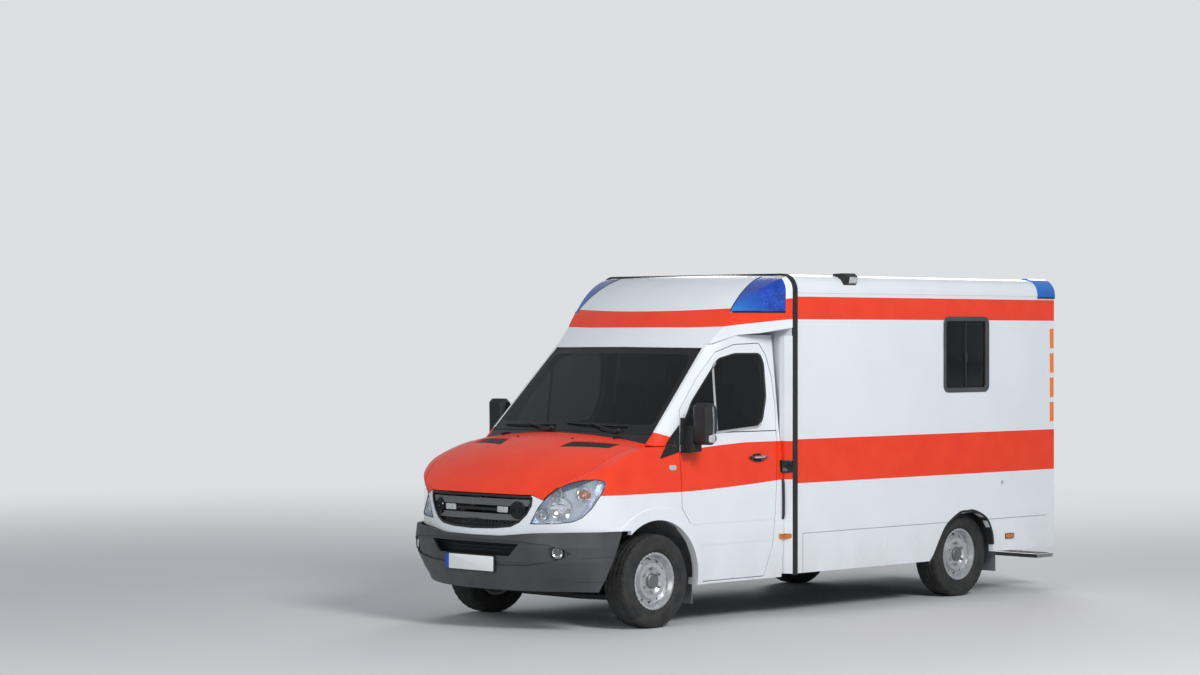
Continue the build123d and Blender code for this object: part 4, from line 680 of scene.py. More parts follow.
def seat_cloth():
    """Dark flat-woven cloth: two crossed sine waves make the threads, and clouds make it lie unevenly."""
    finish, tree = material("woven_seat_cloth")
    x, y, z = place_fields(tree)
    warp, weft = ((x + z) * 2600.0).wave(), ((y + z * 0.35) * 2600.0).wave()
    weave = warp * weft
    fleck = noise(tree, 700.0, 2.0)
    colour = mix_colour(tree, (weave * 0.25 + fleck).scaled(0.2, 0.95), (0.012, 0.013, 0.017), (0.058, 0.060, 0.070))
    shader_with(tree, colour, 0.88, weave + fleck, 0.0004, Sheen_Weight=0.35, Sheen_Roughness=0.5)
    return finish


tyre_rubber = tyre_finish()
cloth = seat_cloth()

# %% [markdown]
# Bare metals differ by how they were made. Wheel steel is sprayed silver, whose flakes show as fine
# sparkle. Pressed reflectors are bright and smooth. Castings and frames under the floor are rough.

# %% Metals
def metal(name, colour, rough, grain=260.0, depth=0.0001, metallic=1.0, dirt_and_sky_tint=(0.05, 0.045, 0.04), share=0.35):
    """Metal with fine grain as bump and a darker second colour in slow clouds: grime on most metals, a bluish painted
    sky reflection on the headlamp housing.
    """
    finish, tree = material(name)
    cloud = noise(tree, 16.0, 6.0)
    tint = mix_colour(tree, cloud.scaled(0.5, 0.8, 0.0, share), colour, dirt_and_sky_tint)
    height = noise(tree, grain, 3.0)
    shader_with(tree, tint, cloud.scaled(0.3, 0.8, rough - 0.05, rough + 0.12), height, depth, Metallic=metallic)
    return finish


wheel_silver = metal("wheel_silver", (0.62, 0.63, 0.65), 0.34, 900.0, 0.00004, 0.75, share=0.28)
wheel_dark = metal("wheel_recess", (0.20, 0.20, 0.21), 0.45, 300.0, 0.00008, 0.6, share=0.5)
bright_metal = metal("polished_reflector", (0.86, 0.88, 0.90), 0.07, 40.0, 0.00002, 1.0, (0.5, 0.5, 0.5), 0.2)
plain_steel = metal("worn_steel", (0.42, 0.42, 0.43), 0.38)
cast_metal = metal("cast_metal", (0.24, 0.24, 0.25), 0.55, 150.0, 0.0008)
frame_black = metal("chassis_black", (0.018, 0.018, 0.020), 0.5, 90.0, 0.0004, 0.2, (0.075, 0.065, 0.055), 0.5)

# %% [markdown]
# Window glass on this vehicle is dark. Thin glass bends nothing that one can see, so the panes let light
# through by their own weight of Transparent, and keep their gloss, which is cheaper and cleaner than a
# solid block of refracting glass. Lamp covers are the same but clear, and warning-light covers are blue.

# %% Glass and lamp covers
def pane(name, colour, see_through, gloss=0.4):
    """Thin tinted glass: the given share passes straight through, the rest is glossy tinted surface."""
    finish, tree = material(name)
    shader = tree.nodes.new("ShaderNodeBsdfPrincipled")
    shader.inputs["Base Color"].default_value = (*colour, 1.0)
    shader.inputs["Specular IOR Level"].default_value = gloss
    smear = noise(tree, 5.0, 4.0)
    tree.links.new(smear.scaled(0.3, 0.8, 0.03, 0.08).socket, shader.inputs["Roughness"])
    wave = tree.nodes.new("ShaderNodeBump")
    wave.inputs["Distance"].default_value = 0.0006
    tree.links.new(noise(tree, 4.0, 1.0).socket, wave.inputs["Height"])
    tree.links.new(wave.outputs[0], shader.inputs["Normal"])
    shader.inputs["Alpha"].default_value = 1.0 - see_through
    output = tree.nodes.new("ShaderNodeOutputMaterial")
    tree.links.new(shader.outputs[0], output.inputs["Surface"])
    return finish


# Sirens and flashers stand in one row in the grille: how far out each is, and how high
SIREN_Y, FLASHER_Y, ROW_Z = 0.423, 0.282, 0.893


def grille_finish():
    """Grained black whose two broad bars, known by their heights, are satin grey."""
    finish, tree = material("grille_black_and_grey")
    x, y, z = place_fields(tree)
    bar = ((z > 0.922) * (z < 0.972)).either((z > 0.817) * (z < 0.861)) * (x < ahead(0.966))
    bar = bar * (abs(y) < z.scaled(0.80, 0.95, 0.425, 0.520))
    across, up = abs(y) - SIREN_Y, z - ROW_Z
    bar = bar * (across * across + up * up > 0.0045)
    colour = mix_colour(tree, bar, (0.014, 0.014, 0.015), (0.115, 0.118, 0.122))
    height = cells(tree, 900.0) + cells(tree, 333.0) * 0.6
    shader_with(tree, colour, noise(tree, 9.0).scaled(0.3, 0.7, 0.34, 0.44), height, 0.0001)
    return finish


grille_plastic = grille_finish()
dark_glass = pane("tinted_window_glass", (0.008, 0.010, 0.011), 0.36)
body_glass = pane("dark_body_window_glass", (0.010, 0.012, 0.013), 0.25)
mirror_glass = metal("mirror_glass", (0.55, 0.58, 0.60), 0.04, 4.0, 0.00002, 1.0, (0.45, 0.47, 0.5), 0.2)
lamp_cover = pane("clear_lamp_cover", (0.62, 0.66, 0.70), 0.90, 0.7)


def warning_lens():
    """Blue cover with fine level ribs; a painted highlight in light blue on the front lenses' lower front and towards
    the rear lenses' tops, and lamp cells as lighter dots in the front lenses' rear, a painted reflection of their
    reflectors.
    """
    finish, tree = material("blue_warning_lens")
    x, _, z = place_fields(tree)
    # Lamp cells: real cells behind the lens, drawn as lighter dots, a painted reflection of their reflectors.
    lamps = cells(tree, 62.0).scaled(0.42, 0.12)
    within = x.scaled(ahead(-1.08), ahead(-1.22)) * z.scaled(2.560, 2.500) * (x > 0.0) * 0.6
    # Painted highlight: light blue over the lower front of the front lenses.
    tip = x.scaled(ahead(-1.26), ahead(-0.97)) * z.scaled(2.53, 2.37)
    # Painted highlight: the rear lenses grow lighter towards their top.
    tail = (x < 0.0) * z.scaled(2.48, 2.62, 0.25, 0.75)
    cloud = noise(tree, 9.0, 3.0).scaled(0.35, 0.7)
    deep = mix_colour(tree, cloud, (0.003, 0.040, 0.36), (0.004, 0.075, 0.56))
    colour = mix_colour(tree, tip.either(tail), deep, (0.012, 0.255, 0.82))
    colour = mix_colour(tree, lamps * within, colour, (0.05, 0.24, 0.80))
    ribs = (z * 1100.0).wave() * 0.35 + lamps * within * 0.5
    shader_with(tree, colour, 0.10, ribs, 0.0006, Coat_Weight=0.8, Coat_Roughness=0.03, Transmission_Weight=0.12)
    return finish


blue_lens = warning_lens()


def tinted(name, colour):
    """A coloured lamp cover with small moulded optics as bump, letting some light through."""
    finish, tree = material(name)
    optic = cells(tree, 160.0)
    tint = mix_colour(tree, optic.scaled(0.1, 0.7), colour, tuple(c * 0.55 for c in colour))
    shader_with(tree, tint, 0.12, optic, 0.0008, Coat_Weight=1.0, Coat_Roughness=0.03, Transmission_Weight=0.15)
    return finish


amber_lens = tinted("amber_lens", (0.95, 0.26, 0.015))
red_lens = tinted("red_lens", (0.62, 0.010, 0.008))
white_lens = tinted("white_lens", (0.85, 0.87, 0.88))
plate_white = moulded("blank_plate_white", (0.82, 0.83, 0.84), 0.35, 120.0, 0.00004, 0.02)
plate_blue = moulded("blank_plate_blue", (0.015, 0.06, 0.42), 0.35, 120.0, 0.00004, 0.1)
print(len(bpy.data.materials), "finishes are ready")

# %% [markdown]
# The solids already have the right shapes, so most of them need only their finish. A short table says
# which finish each takes. A name that ends in a star stands for every node that starts like it.

# %% Finishes for the solids
NODE_FINISHES = {
    "cab_frame": cab_paint, "cab_door_*": cab_paint, "fender_*": cab_paint, "nose_panel": cab_paint,
    "hood": hood_paint, "roof_cap": cap_paint, "box_front_wall": collar_paint, "box_wall_*": body_paint,
    "box_roof": plain_white, "side_door": body_paint, "rear_frame": body_paint, "rear_door_*": body_paint,
    "front_bumper": bumper_plastic, "grille": grille_plastic, "dashboard": dash_plastic,
    "seam_strip": seal_rubber, "windscreen": dark_glass, "cab_glass_*": dark_glass, "side_glass": body_glass,
    "box_window": body_glass, "rear_glass_*": body_glass, "headlamp_*": lamp_cover, "beacon_*": blue_lens,
    "tail_beacon_*": blue_lens, "mirror_*": black_plastic, "scene_light": black_plastic,
    "steering_wheel": black_plastic, "cab_seats": cloth, "cab_floor": vinyl_floor, "box_floor": vinyl_floor,
    "chassis_frame": frame_black, "front_suspension": frame_black, "steering_rack": cast_metal,
    "knuckle_*": cast_metal, "rear_axle": frame_black, "engine_block": cast_metal, "exhaust_pipe": plain_steel,
    "fuel_tank": frame_black, "rear_step": plain_steel, "tyre_*": tyre_rubber, "wheel_*": wheel_silver,
}


def finish_for(node_name):
    """The finish of the table's row that names this node, or whose start it shares."""
    rows = [f for key, f in NODE_FINISHES.items() if key == node_name]
    rows += [f for key, f in NODE_FINISHES.items() if key.endswith("*") and node_name.startswith(key[:-1])]
    return rows[0]


for node_name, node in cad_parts.items():
    node.data.materials.clear()
    node.data.materials.append(finish_for(node_name))
print(len(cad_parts), "solids have their finishes")

# %% [markdown]
# Small things sit on curved panels, so their places can't be typed in. Instead a flat pattern is dropped on
# the panel along straight lines, and each of its points stops where its line first meets a triangle. Seen
# along the lines, a point is inside a triangle when both of its edge coordinates and what is left of 1 are
# positive, and its depth is the same mix of the three corners' depths.

# %% Dropping points on a panel
WELL_OUT = 1.4


def places_of(mesh):
    """The places of a mesh's points, as one array of shape (count, 3)."""
    flat = np.empty(len(mesh.vertices) * 3)
    mesh.vertices.foreach_get("co", flat)
    return flat.reshape(-1, 3)


def triangles_of(*nodes):
    """The corners of all triangles of some solids, as one array of shape (count, 3, 3)."""
    found = []
    for node_name in nodes:
        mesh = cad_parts[node_name].data
        mesh.calc_loop_triangles()
        corner = np.empty(len(mesh.loop_triangles) * 3, int)
        mesh.loop_triangles.foreach_get("vertices", corner)
        found.append(places_of(mesh)[corner.reshape(-1, 3)])
    return np.concatenate(found)


def landing(points, direction, *nodes, stand_off=0.0):
    """Where lines from the points along a direction first meet the solids, less stand_off on the way."""
    points = np.asarray(points, float).reshape(-1, 3)
    along, across, lift = basis(direction)
    corners = triangles_of(*nodes)
    flat = np.stack([corners @ across, corners @ lift], axis=-1)
    depth = corners @ along
    first, second = flat[:, 1] - flat[:, 0], flat[:, 2] - flat[:, 0]
    area = first[:, 0] * second[:, 1] - first[:, 1] * second[:, 0]
    usable = np.abs(area) > 1e-10
    flat, depth, first, second, area = flat[usable], depth[usable], first[usable], second[usable], area[usable]
    landed = []
    for some in np.array_split(points, max(1, len(points) // 60)):
        away = np.stack([some @ across, some @ lift], axis=-1)[:, None] - flat[None, :, 0]
        a = (away[..., 0] * second[:, 1] - away[..., 1] * second[:, 0]) / area
        b = (first[:, 0] * away[..., 1] - first[:, 1] * away[..., 0]) / area
        there = depth[:, 0] + a * (depth[:, 1] - depth[:, 0]) + b * (depth[:, 2] - depth[:, 0])
        ahead_of = there - (some @ along)[:, None]
        meets = (a > -1e-4) & (b > -1e-4) & (a + b < 1.0001) & (ahead_of > 0)
        nearest = np.where(meets, ahead_of, np.inf).min(axis=1)
        known = np.isfinite(nearest)
        nearest = np.where(known, nearest, np.median(nearest[known]))
        landed.append(some + (nearest - stand_off)[:, None] * along)
    return np.concatenate(landed)


def met_from_ahead(y, z, node):
    """The point of a solid that a level line from ahead meets first."""
    return landing([(ahead(1.3), y, z)], (-1, 0, 0), node)[0]


def on_flank(flat, side, *nodes, stand_off=0.0):
    """Points of the side view (ahead of the axle, z) dropped inwards on the solids from well out on a side."""
    flat = np.asarray(flat, float)
    return landing(xyz(ahead(flat[:, 0]), side * WELL_OUT, flat[:, 1]), (0, -side, 0), *nodes, stand_off=stand_off)


def draped(outline, side, thickness, *nodes, bevel, rings=4):
    """A patch that lies on a flank: its outline and shrunken copies of it are dropped, then given a rim."""
    outline = np.asarray(outline, float)
    centre = outline.mean(axis=0)
    shares = np.concatenate([[1.0, 1.0], np.linspace(1.0, 0.0, rings + 1)])
    shares[2:] *= 1.0 - bevel / np.linalg.norm(outline - centre, axis=1).max()
    level = np.concatenate([[-0.002, thickness - bevel], np.full(rings + 1, thickness)])
    flat = centre + (outline - centre)[None] * shares[:, None, None]
    landed = on_flank(flat.reshape(-1, 2), side, *nodes).reshape(len(shares), len(outline), 3)
    return landed + level[:, None, None] * (0, side, 0), skin(len(shares), len(outline), close_columns=True)


# %% [markdown]
# A road tyre is a turned band with a pattern cut in it. The tread has four grooves that run all the way
# round, and its shoulders are cut across every few degrees. A radius that depends on both the place across
# the tread and the angle gives blocks and grooves at once. The sidewall carries only thin moulded rings.

# %% Tyres
TYRE_TURNS = 288
TYRE_PROFILE = np.array([
    (-0.082, 0.2135), (-0.096, 0.219), (-0.1035, 0.228), (-0.1085, 0.240), (-0.1115, 0.2415), (-0.1120, 0.244),
    (-0.1105, 0.2455), (-0.1125, 0.268), (-0.1125, 0.288), (-0.1105, 0.302), (-0.1120, 0.3035),
    (-0.1110, 0.306), (-0.1085, 0.3075), (-0.1065, 0.322), (-0.1030, 0.333), (-0.0970, 0.3415),
    (-0.0900, 0.3455),
])


def tyre_part(centre, side):
    """Tyre grid: the profile, its flat tread, then its mirror image, turned with grooves cut in the tread."""
    across = np.linspace(-0.084, 0.084, 29)
    crown = 0.3478 + 0.0020 * (1 - (across / 0.084) ** 2)
    profile = np.vstack([TYRE_PROFILE, np.stack([across, crown], 1), TYRE_PROFILE[::-1] * (-1, 1)])
    reach, radius = profile[:, 0], profile[:, 1]
    angle = np.linspace(0, 2 * np.pi, TYRE_TURNS, endpoint=False)
    ring = sum(np.clip(1.25 - np.abs(reach - at) / 0.0052, 0, 1) for at in (-0.060, -0.021, 0.021, 0.060))
    lean = angle[:, None] + 0.9 * np.abs(reach)[None]
    shoulder = np.clip((np.abs(reach) - 0.064) / 0.006, 0, 1) * np.clip((0.103 - np.abs(reach)) / 0.008, 0, 1)
    cut = np.clip(1.6 - np.abs((lean * 36 / np.pi) % 2 - 1) * 5.0, 0, 1) * shoulder[None]
    sipe = np.clip(1.3 - np.abs((lean * 36 / np.pi + 0.5) % 2 - 1) * 7.0, 0, 1) * (np.abs(reach) < 0.055)[None]
    depth = 0.0075 * np.clip(np.maximum(np.minimum(ring, 1.0)[None], cut * 0.85), 0, 1) + 0.0018 * sipe
    r = radius[None] - depth * (np.abs(reach) < 0.101)[None]
    x = centre[0] + r * np.cos(angle)[:, None]
    z = centre[2] + r * np.sin(angle)[:, None]
    return xyz(x, centre[1] + side * reach, z), skin(TYRE_TURNS, len(profile), close_rows=True, close_columns=True)


WHEELS = {
    # end and side: the axle's place and the side's sign
    "front_left": (FRONT_AXLE, 1.0), "front_right": (FRONT_AXLE, -1.0),
    "rear_left": (REAR_AXLE, 1.0), "rear_right": (REAR_AXLE, -1.0),
}
for where, (axle, side) in WHEELS.items():
    hub = (axle, side * HALF_TRACK, WHEEL_Z)
    piece(f"road_tyre_{where}", [tyre_part(hub, side)], tyre_rubber, f"wheel_{where}",
          (f"tyre_{where}",), smooth_below=38)
print(len(WHEELS), "tyres with", TYRE_TURNS, "steps of tread each")

# %% [markdown]
# The wheels are silver steel discs. The solid has the dish and its holes, and what is added is what a
# wheel brace meets: a hub cap, six wheel nuts on their circle and a valve.

# %% Wheel nuts, hub caps and valves
def facing(node, hub, side, radius, angle):
    """The point on a wheel's outer face at a radius and angle, found by dropping along the axle."""
    start = (hub[0] + radius * math.cos(angle), hub[1] + side * 0.30, hub[2] + radius * math.sin(angle))
    return landing([start], (0, -side, 0), node)[0]


for where, (axle, side) in WHEELS.items():
    wheel, hub, out = f"wheel_{where}", (axle, side * HALF_TRACK, WHEEL_Z), (0, side, 0)
    middle = facing(wheel, hub, side, 0.056, 0.0)
    cap = lathe([(-0.004, 0.0), (-0.004, 0.0585), (0.010, 0.0575), (0.015, 0.052), (0.0175, 0.040),
                 (0.0155, 0.036), (0.0165, 0.020), (0.0172, 0.0)], (axle, middle[1], WHEEL_Z), out, 48)
    piece(f"hub_cap_{where}", [cap], wheel_dark, wheel)
    nuts = []
    for k in range(6):
        angle = math.radians(30 + 60 * k)
        seat = facing(wheel, hub, side, 0.0925, angle)
        nuts.append(lathe([(-0.004, 0.0), (-0.004, 0.0150), (0.002, 0.0150), (0.003, 0.0118)], seat, out, 24))
        nuts.append(lathe([(0.0, 0.0118), (0.015, 0.0112), (0.018, 0.0090), (0.019, 0.0)], seat, out, 6))
    piece(f"wheel_nuts_{where}", nuts, plain_steel, wheel, smooth_below=25)
    stem = facing(wheel, hub, side, 0.172, math.radians(80))
    valve = lathe([(-0.006, 0.0), (-0.006, 0.0052), (0.018, 0.0045), (0.019, 0.0050), (0.030, 0.0048), (0.0315, 0.0)],
                  stem, out, 16)
    piece(f"tyre_valve_{where}", [valve], seal_rubber, wheel)
print("hub caps, nuts and valves are on their wheels")

# %% [markdown]
# A headlamp is a clear cover over a silvered bowl. The solid is one block cut from the wing's own surface,
# so its outward triangles are the cover and all its other triangles are the walls behind. The walls get a
# silver finish tinted sky blue with bluish clouds, a painted sky reflection; the cover is thin clear plastic,
# and bowls and bulbs stand between the two.

# %% Headlamp covers and housings
# Silver tinted sky blue, with bluish clouds in place of grime: a painted sky reflection on the housing's walls.
silver_with_painted_sky = metal("lamp_housing", (0.74, 0.80, 0.90), 0.26, 30.0, 0.00006, 0.8, (0.60, 0.66, 0.78), 0.4)


def split_shell(node, outward, least):
    """Two parts of a solid's skin: the triangles that face a direction by at least a share, and the rest."""
    corners = triangles_of(node)
    normal = np.cross(corners[:, 1] - corners[:, 0], corners[:, 2] - corners[:, 0])
    normal /= np.maximum(np.linalg.norm(normal, axis=1)[:, None], 1e-12)
    facing_out = normal @ (np.asarray(outward, float) / np.linalg.norm(outward)) > least
    return [(part.reshape(-1, 3), np.arange(part.size // 3).reshape(-1, 3)) for part in
            (corners[facing_out], corners[~facing_out])]


def bowl(radius, depth, lip=0.004):
    """Profile of a reflector: a parabola whose depth grows with the square of the radius, and a lip."""
    r = np.linspace(0.006, radius, 12)
    inner = np.stack([-depth * (1 - (r / radius) ** 2), r], 1)
    return np.vstack([inner, [(0.0, radius + lip), (-0.006, radius + lip)]])


# Headlamp optics on the left: place on the cover, set back, radius, depth
OPTICS = (
    ("main_beam", (0.735, 0.905), 0.046, 0.080, 0.050), ("side_light", (0.600, 0.862), 0.036, 0.036, 0.030),
    ("turn_signal", (0.862, 1.015), 0.042, 0.052, 0.036), ("high_beam", (0.705, 1.025), 0.040, 0.044, 0.036),
)
LAMP_AXIS = np.array([0.86, 0.50, 0.06])
for word, side in SIDES.items():
    cover, walls = split_shell(f"headlamp_{word}", (0.70, 0.60 * side, 0.2), 0.30)
    piece(f"headlamp_cover_{word}", [cover], lamp_cover, "body", (f"headlamp_{word}",),
          turn_outward=False)
    piece(f"headlamp_housing_{word}", [walls], silver_with_painted_sky, "body", turn_outward=False)
    axis = LAMP_AXIS * (1, side, 1)
    reflectors, bulbs, signals = [], [], []
    for lamp_name, (y, z), back, radius, depth in OPTICS:
        seat = met_from_ahead(side * y, z, f"headlamp_{word}") - axis / np.linalg.norm(axis) * back
        reflectors.append(lathe(bowl(radius, depth), seat, axis, 40))
        bulb = [(-depth, 0.0), (-depth, 0.010), (-depth * 0.4, 0.009), (-depth * 0.2, 0.007), (-depth * 0.08, 0.0)]
        (signals if lamp_name == "turn_signal" else bulbs).append(lathe(bulb, seat, axis, 20))
        reflectors.append(lathe([(0.0, radius + 0.004), (0.003, radius + 0.007), (0.006, radius + 0.004)],
                                seat, axis, 40))
    piece(f"headlamp_bowls_{word}", reflectors, bright_metal, "body", turn_outward=False)
    piece(f"headlamp_bulbs_{word}", bulbs, white_lens, "body")
    piece(f"turn_signal_bulb_{word}", signals, amber_lens, "body")
print("headlamps have covers, housings, bowls and bulbs")

# %% [markdown]
# A thin black seal shows between lamp and wing. It follows the cover's edge, so the lamp's outline, which
# is known as it looks from 45 degrees ahead, is dropped back along that line of sight.

# %% Headlamp seals
SHRUNK, LAMP_MIDDLE_Z = 0.985, 0.958
LAMP_OUTLINE = np.array([
    (-0.254, 0.793), (-0.192, 0.916), (-0.136, 0.986), (-0.052, 1.056), (0.041, 1.100), (0.134, 1.123),
    (0.250, 1.125), (0.303, 1.109), (0.306, 1.079), (0.273, 1.010), (0.203, 0.908), (0.134, 0.844),
    (0.064, 0.814), (-0.052, 0.801),
])
DIAGONAL = math.sqrt(0.5)
for word, side in SIDES.items():
    line = spread_along(rounded_outline(LAMP_OUTLINE, 0.02, 4) * (SHRUNK, 1), 150, loop=True)
    line[:, 1] = LAMP_MIDDLE_Z + (line[:, 1] - LAMP_MIDDLE_Z) * SHRUNK
    across, far = line[:, 0] * DIAGONAL, 1.8 * DIAGONAL
    start = xyz(ahead(far - across), side * (far + across), line[:, 1])
    path = landing(start, (-1, -side, 0), f"headlamp_{word}", stand_off=0.0004)
    piece(f"headlamp_seal_{word}", [sweep(path, circle(0.0032, 8), up=(1, side, 0), loop=True)],
          seal_rubber, "body")
print("two headlamp seals of", len(path), "steps")

# %% [markdown]
# Between the grille's bars stand two warning flashers, and a siren disc sits at either end. The lowest part
# of the opening has a wire mesh whose diamonds are leaning wires crossed by their mirror images.

# %% Grille: flashers, sirens and mesh
flashers, frames = [], []
for side in (1, -1):
    y = side * FLASHER_Y
    front = max(met_from_ahead(y, ROW_Z, "grille")[0], ahead(0.915))
    outline = rectangle((y - 0.054, 0.872), (y + 0.054, 0.916), 0.008)
    flashers.append(plate(outline, on_front(front + 0.002), 0.012, 0.003, dome=0.002))
    outline = rectangle((y - 0.060, 0.866), (y + 0.060, 0.922), 0.010)
    frames.append(plate(outline, on_front(front - 0.012), 0.016, 0.002))
piece("grille_flashers", flashers, white_lens, "body")
piece("grille_flasher_frames", frames, gloss_black, "body")

sirens = []
for side in (1, -1):
    spot, axis = met_from_ahead(side * SIREN_Y, ROW_Z, "grille"), (1, side * 0.28, 0)
    for outer, inner in ((0.058, 0.050), (0.043, 0.035), (0.028, 0.020)):
        ring = [(-0.004, inner), (0.006, inner + 0.002), (0.006, outer - 0.002), (-0.004, outer)]
        sirens.append(lathe(ring, spot, axis, 48))
    sirens.append(lathe([(-0.004, 0.013), (0.008, 0.012), (0.013, 0.007), (0.014, 0.0)], spot, axis, 32))
piece("grille_sirens", sirens, gloss_black, "body")

wires = []
for lean in (1, -1):
    for k in range(-26, 27):
        run = np.linspace(0.0, 1.0, 4)
        y = 0.0195 * k + lean * 0.036 * run
        z = 0.752 + 0.072 * run
        inside = np.abs(y) < np.interp(z, (0.750, 0.766, 0.800, 0.83), (0.20, 0.36, 0.44, 0.48))
        if inside.sum() >= 2:
            curve = np.interp(np.abs(y[inside]), (0.0, 0.24, 0.44), (0.957, 0.938, 0.886))
            path = xyz(ahead(curve + (0.805 - z[inside]) * 0.15), y[inside], z[inside])
            wires.append(sweep(path, circle(0.0017, 6)))
piece("grille_mesh", wires, black_plastic, "body")
print(len(wires), "mesh wires,", len(flashers), "flashers and two sirens")

# %% [markdown]
# Down on the bumper are two fog lamps in their round pockets, a dark grid behind the air intake, and a
# number plate that stays blank, with the coloured band that such plates have at one end.

# %% Fog lamps, intake grid and blank number plate
for word, side in SIDES.items():
    spot = met_from_ahead(side * 0.760, 0.594, "front_bumper")
    axis = np.array([0.88, 0.45 * side, 0.0])
    ring = [(0.0, 0.042), (0.012, 0.042), (0.016, 0.044), (0.016, 0.048), (0.006, 0.052), (-0.012, 0.052)]
    piece(f"fog_lamp_ring_{word}", [lathe(ring, spot, axis, 48)], gloss_black, "body")
    piece(f"fog_lamp_bowl_{word}", [lathe(bowl(0.041, 0.020, 0.001), spot + axis * 0.010, axis, 40)], bright_metal,
          "body", turn_outward=False)
    glass = [(0.0, 0.0425), (0.004, 0.0422), (0.010, 0.032), (0.014, 0.016), (0.015, 0.0)]
    piece(f"fog_lamp_glass_{word}", [lathe(glass, spot + axis * 0.006, axis, 40)], lamp_cover, "body",
          turn_outward=False)

slats = []
for z in (0.575, 0.602, 0.629):
    y = np.linspace(-0.46, 0.46, 25)
    slats.append(sweep(xyz(ahead(0.962 - 0.28 * y**2), y, z), circle(0.013, 8, 0.35)))
piece("intake_slats", slats, black_plastic, "body")
screen_y, screen_z = np.meshgrid(np.linspace(-0.52, 0.52, 21), np.linspace(0.545, 0.665, 5), indexing="ij")
screen_points = xyz(ahead(0.935 - 0.28 * screen_y**2), screen_y, screen_z)
piece("intake_screen", [(screen_points, skin(21, 5))], black_plastic, "body", turn_outward=False)

PLATE_Z = 0.495
probe = [(ahead(1.3), y, z) for y in np.linspace(-0.25, 0.25, 11) for z in np.linspace(0.44, 0.55, 9)]
bumper_face = landing(probe, (-1, 0, 0), "front_bumper")
plate_x = min(float(bumper_face[:, 0].max()) + 0.001, cad_high[0] + 0.004)
white_edge = rectangle((-0.222, PLATE_Z - 0.055), (0.260, PLATE_Z + 0.055), 0.008)
blue_edge = rectangle((-0.260, PLATE_Z - 0.055), (-0.2225, PLATE_Z + 0.055), 0.006)
holder_edge = rectangle((-0.267, PLATE_Z - 0.062), (0.267, PLATE_Z + 0.062), 0.012)
piece("front_plate_blank", [plate(white_edge, on_front(plate_x), 0.006, 0.0015)], plate_white, "body")
piece("front_plate_band", [plate(blue_edge, on_front(plate_x), 0.006, 0.0015)], plate_blue, "body")
piece("front_plate_holder", [plate(holder_edge, on_front(plate_x - 0.012), 0.013, 0.002)], black_plastic, "body")
print("front plate stands at", round(plate_x - FRONT_AXLE, 3), "ahead of the axle")

# %% [markdown]
# A windscreen is glued in, and a black fired border hides the glue. The border is a band between the
# glass's outline and a smaller copy of it, dropped on the glass from ahead. It is wider along the bottom,
# where the wipers park.

# %% Windscreen border and rubber
SCREEN_STEPS = 240
SCREEN_CORNERS = np.array([
    (0.0, 1.446), (0.866, 1.431), (0.794, 2.078), (0.0, 2.084), (-0.794, 2.078), (-0.866, 1.431),
])


def windscreen_line(side_in, bottom_in, top_in):
    """The glass's outline in the (y, z) view with its sides, bottom and top moved in."""
    corners = SCREEN_CORNERS.copy()
    low = corners[:, 1] < 1.7
    corners[:, 1] += np.where(low, bottom_in, -top_in)
    corners[:, 0] -= np.sign(corners[:, 0]) * side_in
    return spread_along(rounded_outline(corners, (0.001, 0.05, 0.07, 0.001, 0.07, 0.05), 7), SCREEN_STEPS, loop=True)


def on_screen(flat, stand_off=0.0):
    """Points of the (y, z) view dropped back on the windscreen's outer face."""
    return landing(xyz(ahead(0.6), flat[:, 0], flat[:, 1]), (-1, 0, 0), "windscreen", stand_off=stand_off)


border_steps = [(0.004, 0.004, 0.004), (0.018, 0.026, 0.018), (0.032, 0.048, 0.034), (0.045, 0.070, 0.050)]
border = np.stack([on_screen(windscreen_line(*step), 0.0008) for step in border_steps])
border_skin = skin(len(border_steps), SCREEN_STEPS, close_columns=True)
piece("windscreen_border", [(border, border_skin)], gloss_black, "body", turn_outward=False)
rubber = on_screen(windscreen_line(0.003, 0.003, 0.003), 0.001)
piece("windscreen_rubber", [sweep(rubber, circle(0.0055, 8, 0.7), up=(1, 0, 0.6), loop=True)], seal_rubber, "body")
print("windscreen border of", border.size // 3, "points")

# %% [markdown]
# Each wiper is an arm on a spindle in the scuttle and a blade that lies on the glass. The blade's line is
# straight as seen from ahead, and dropping it on the glass gives it the curve that its spring gives it.

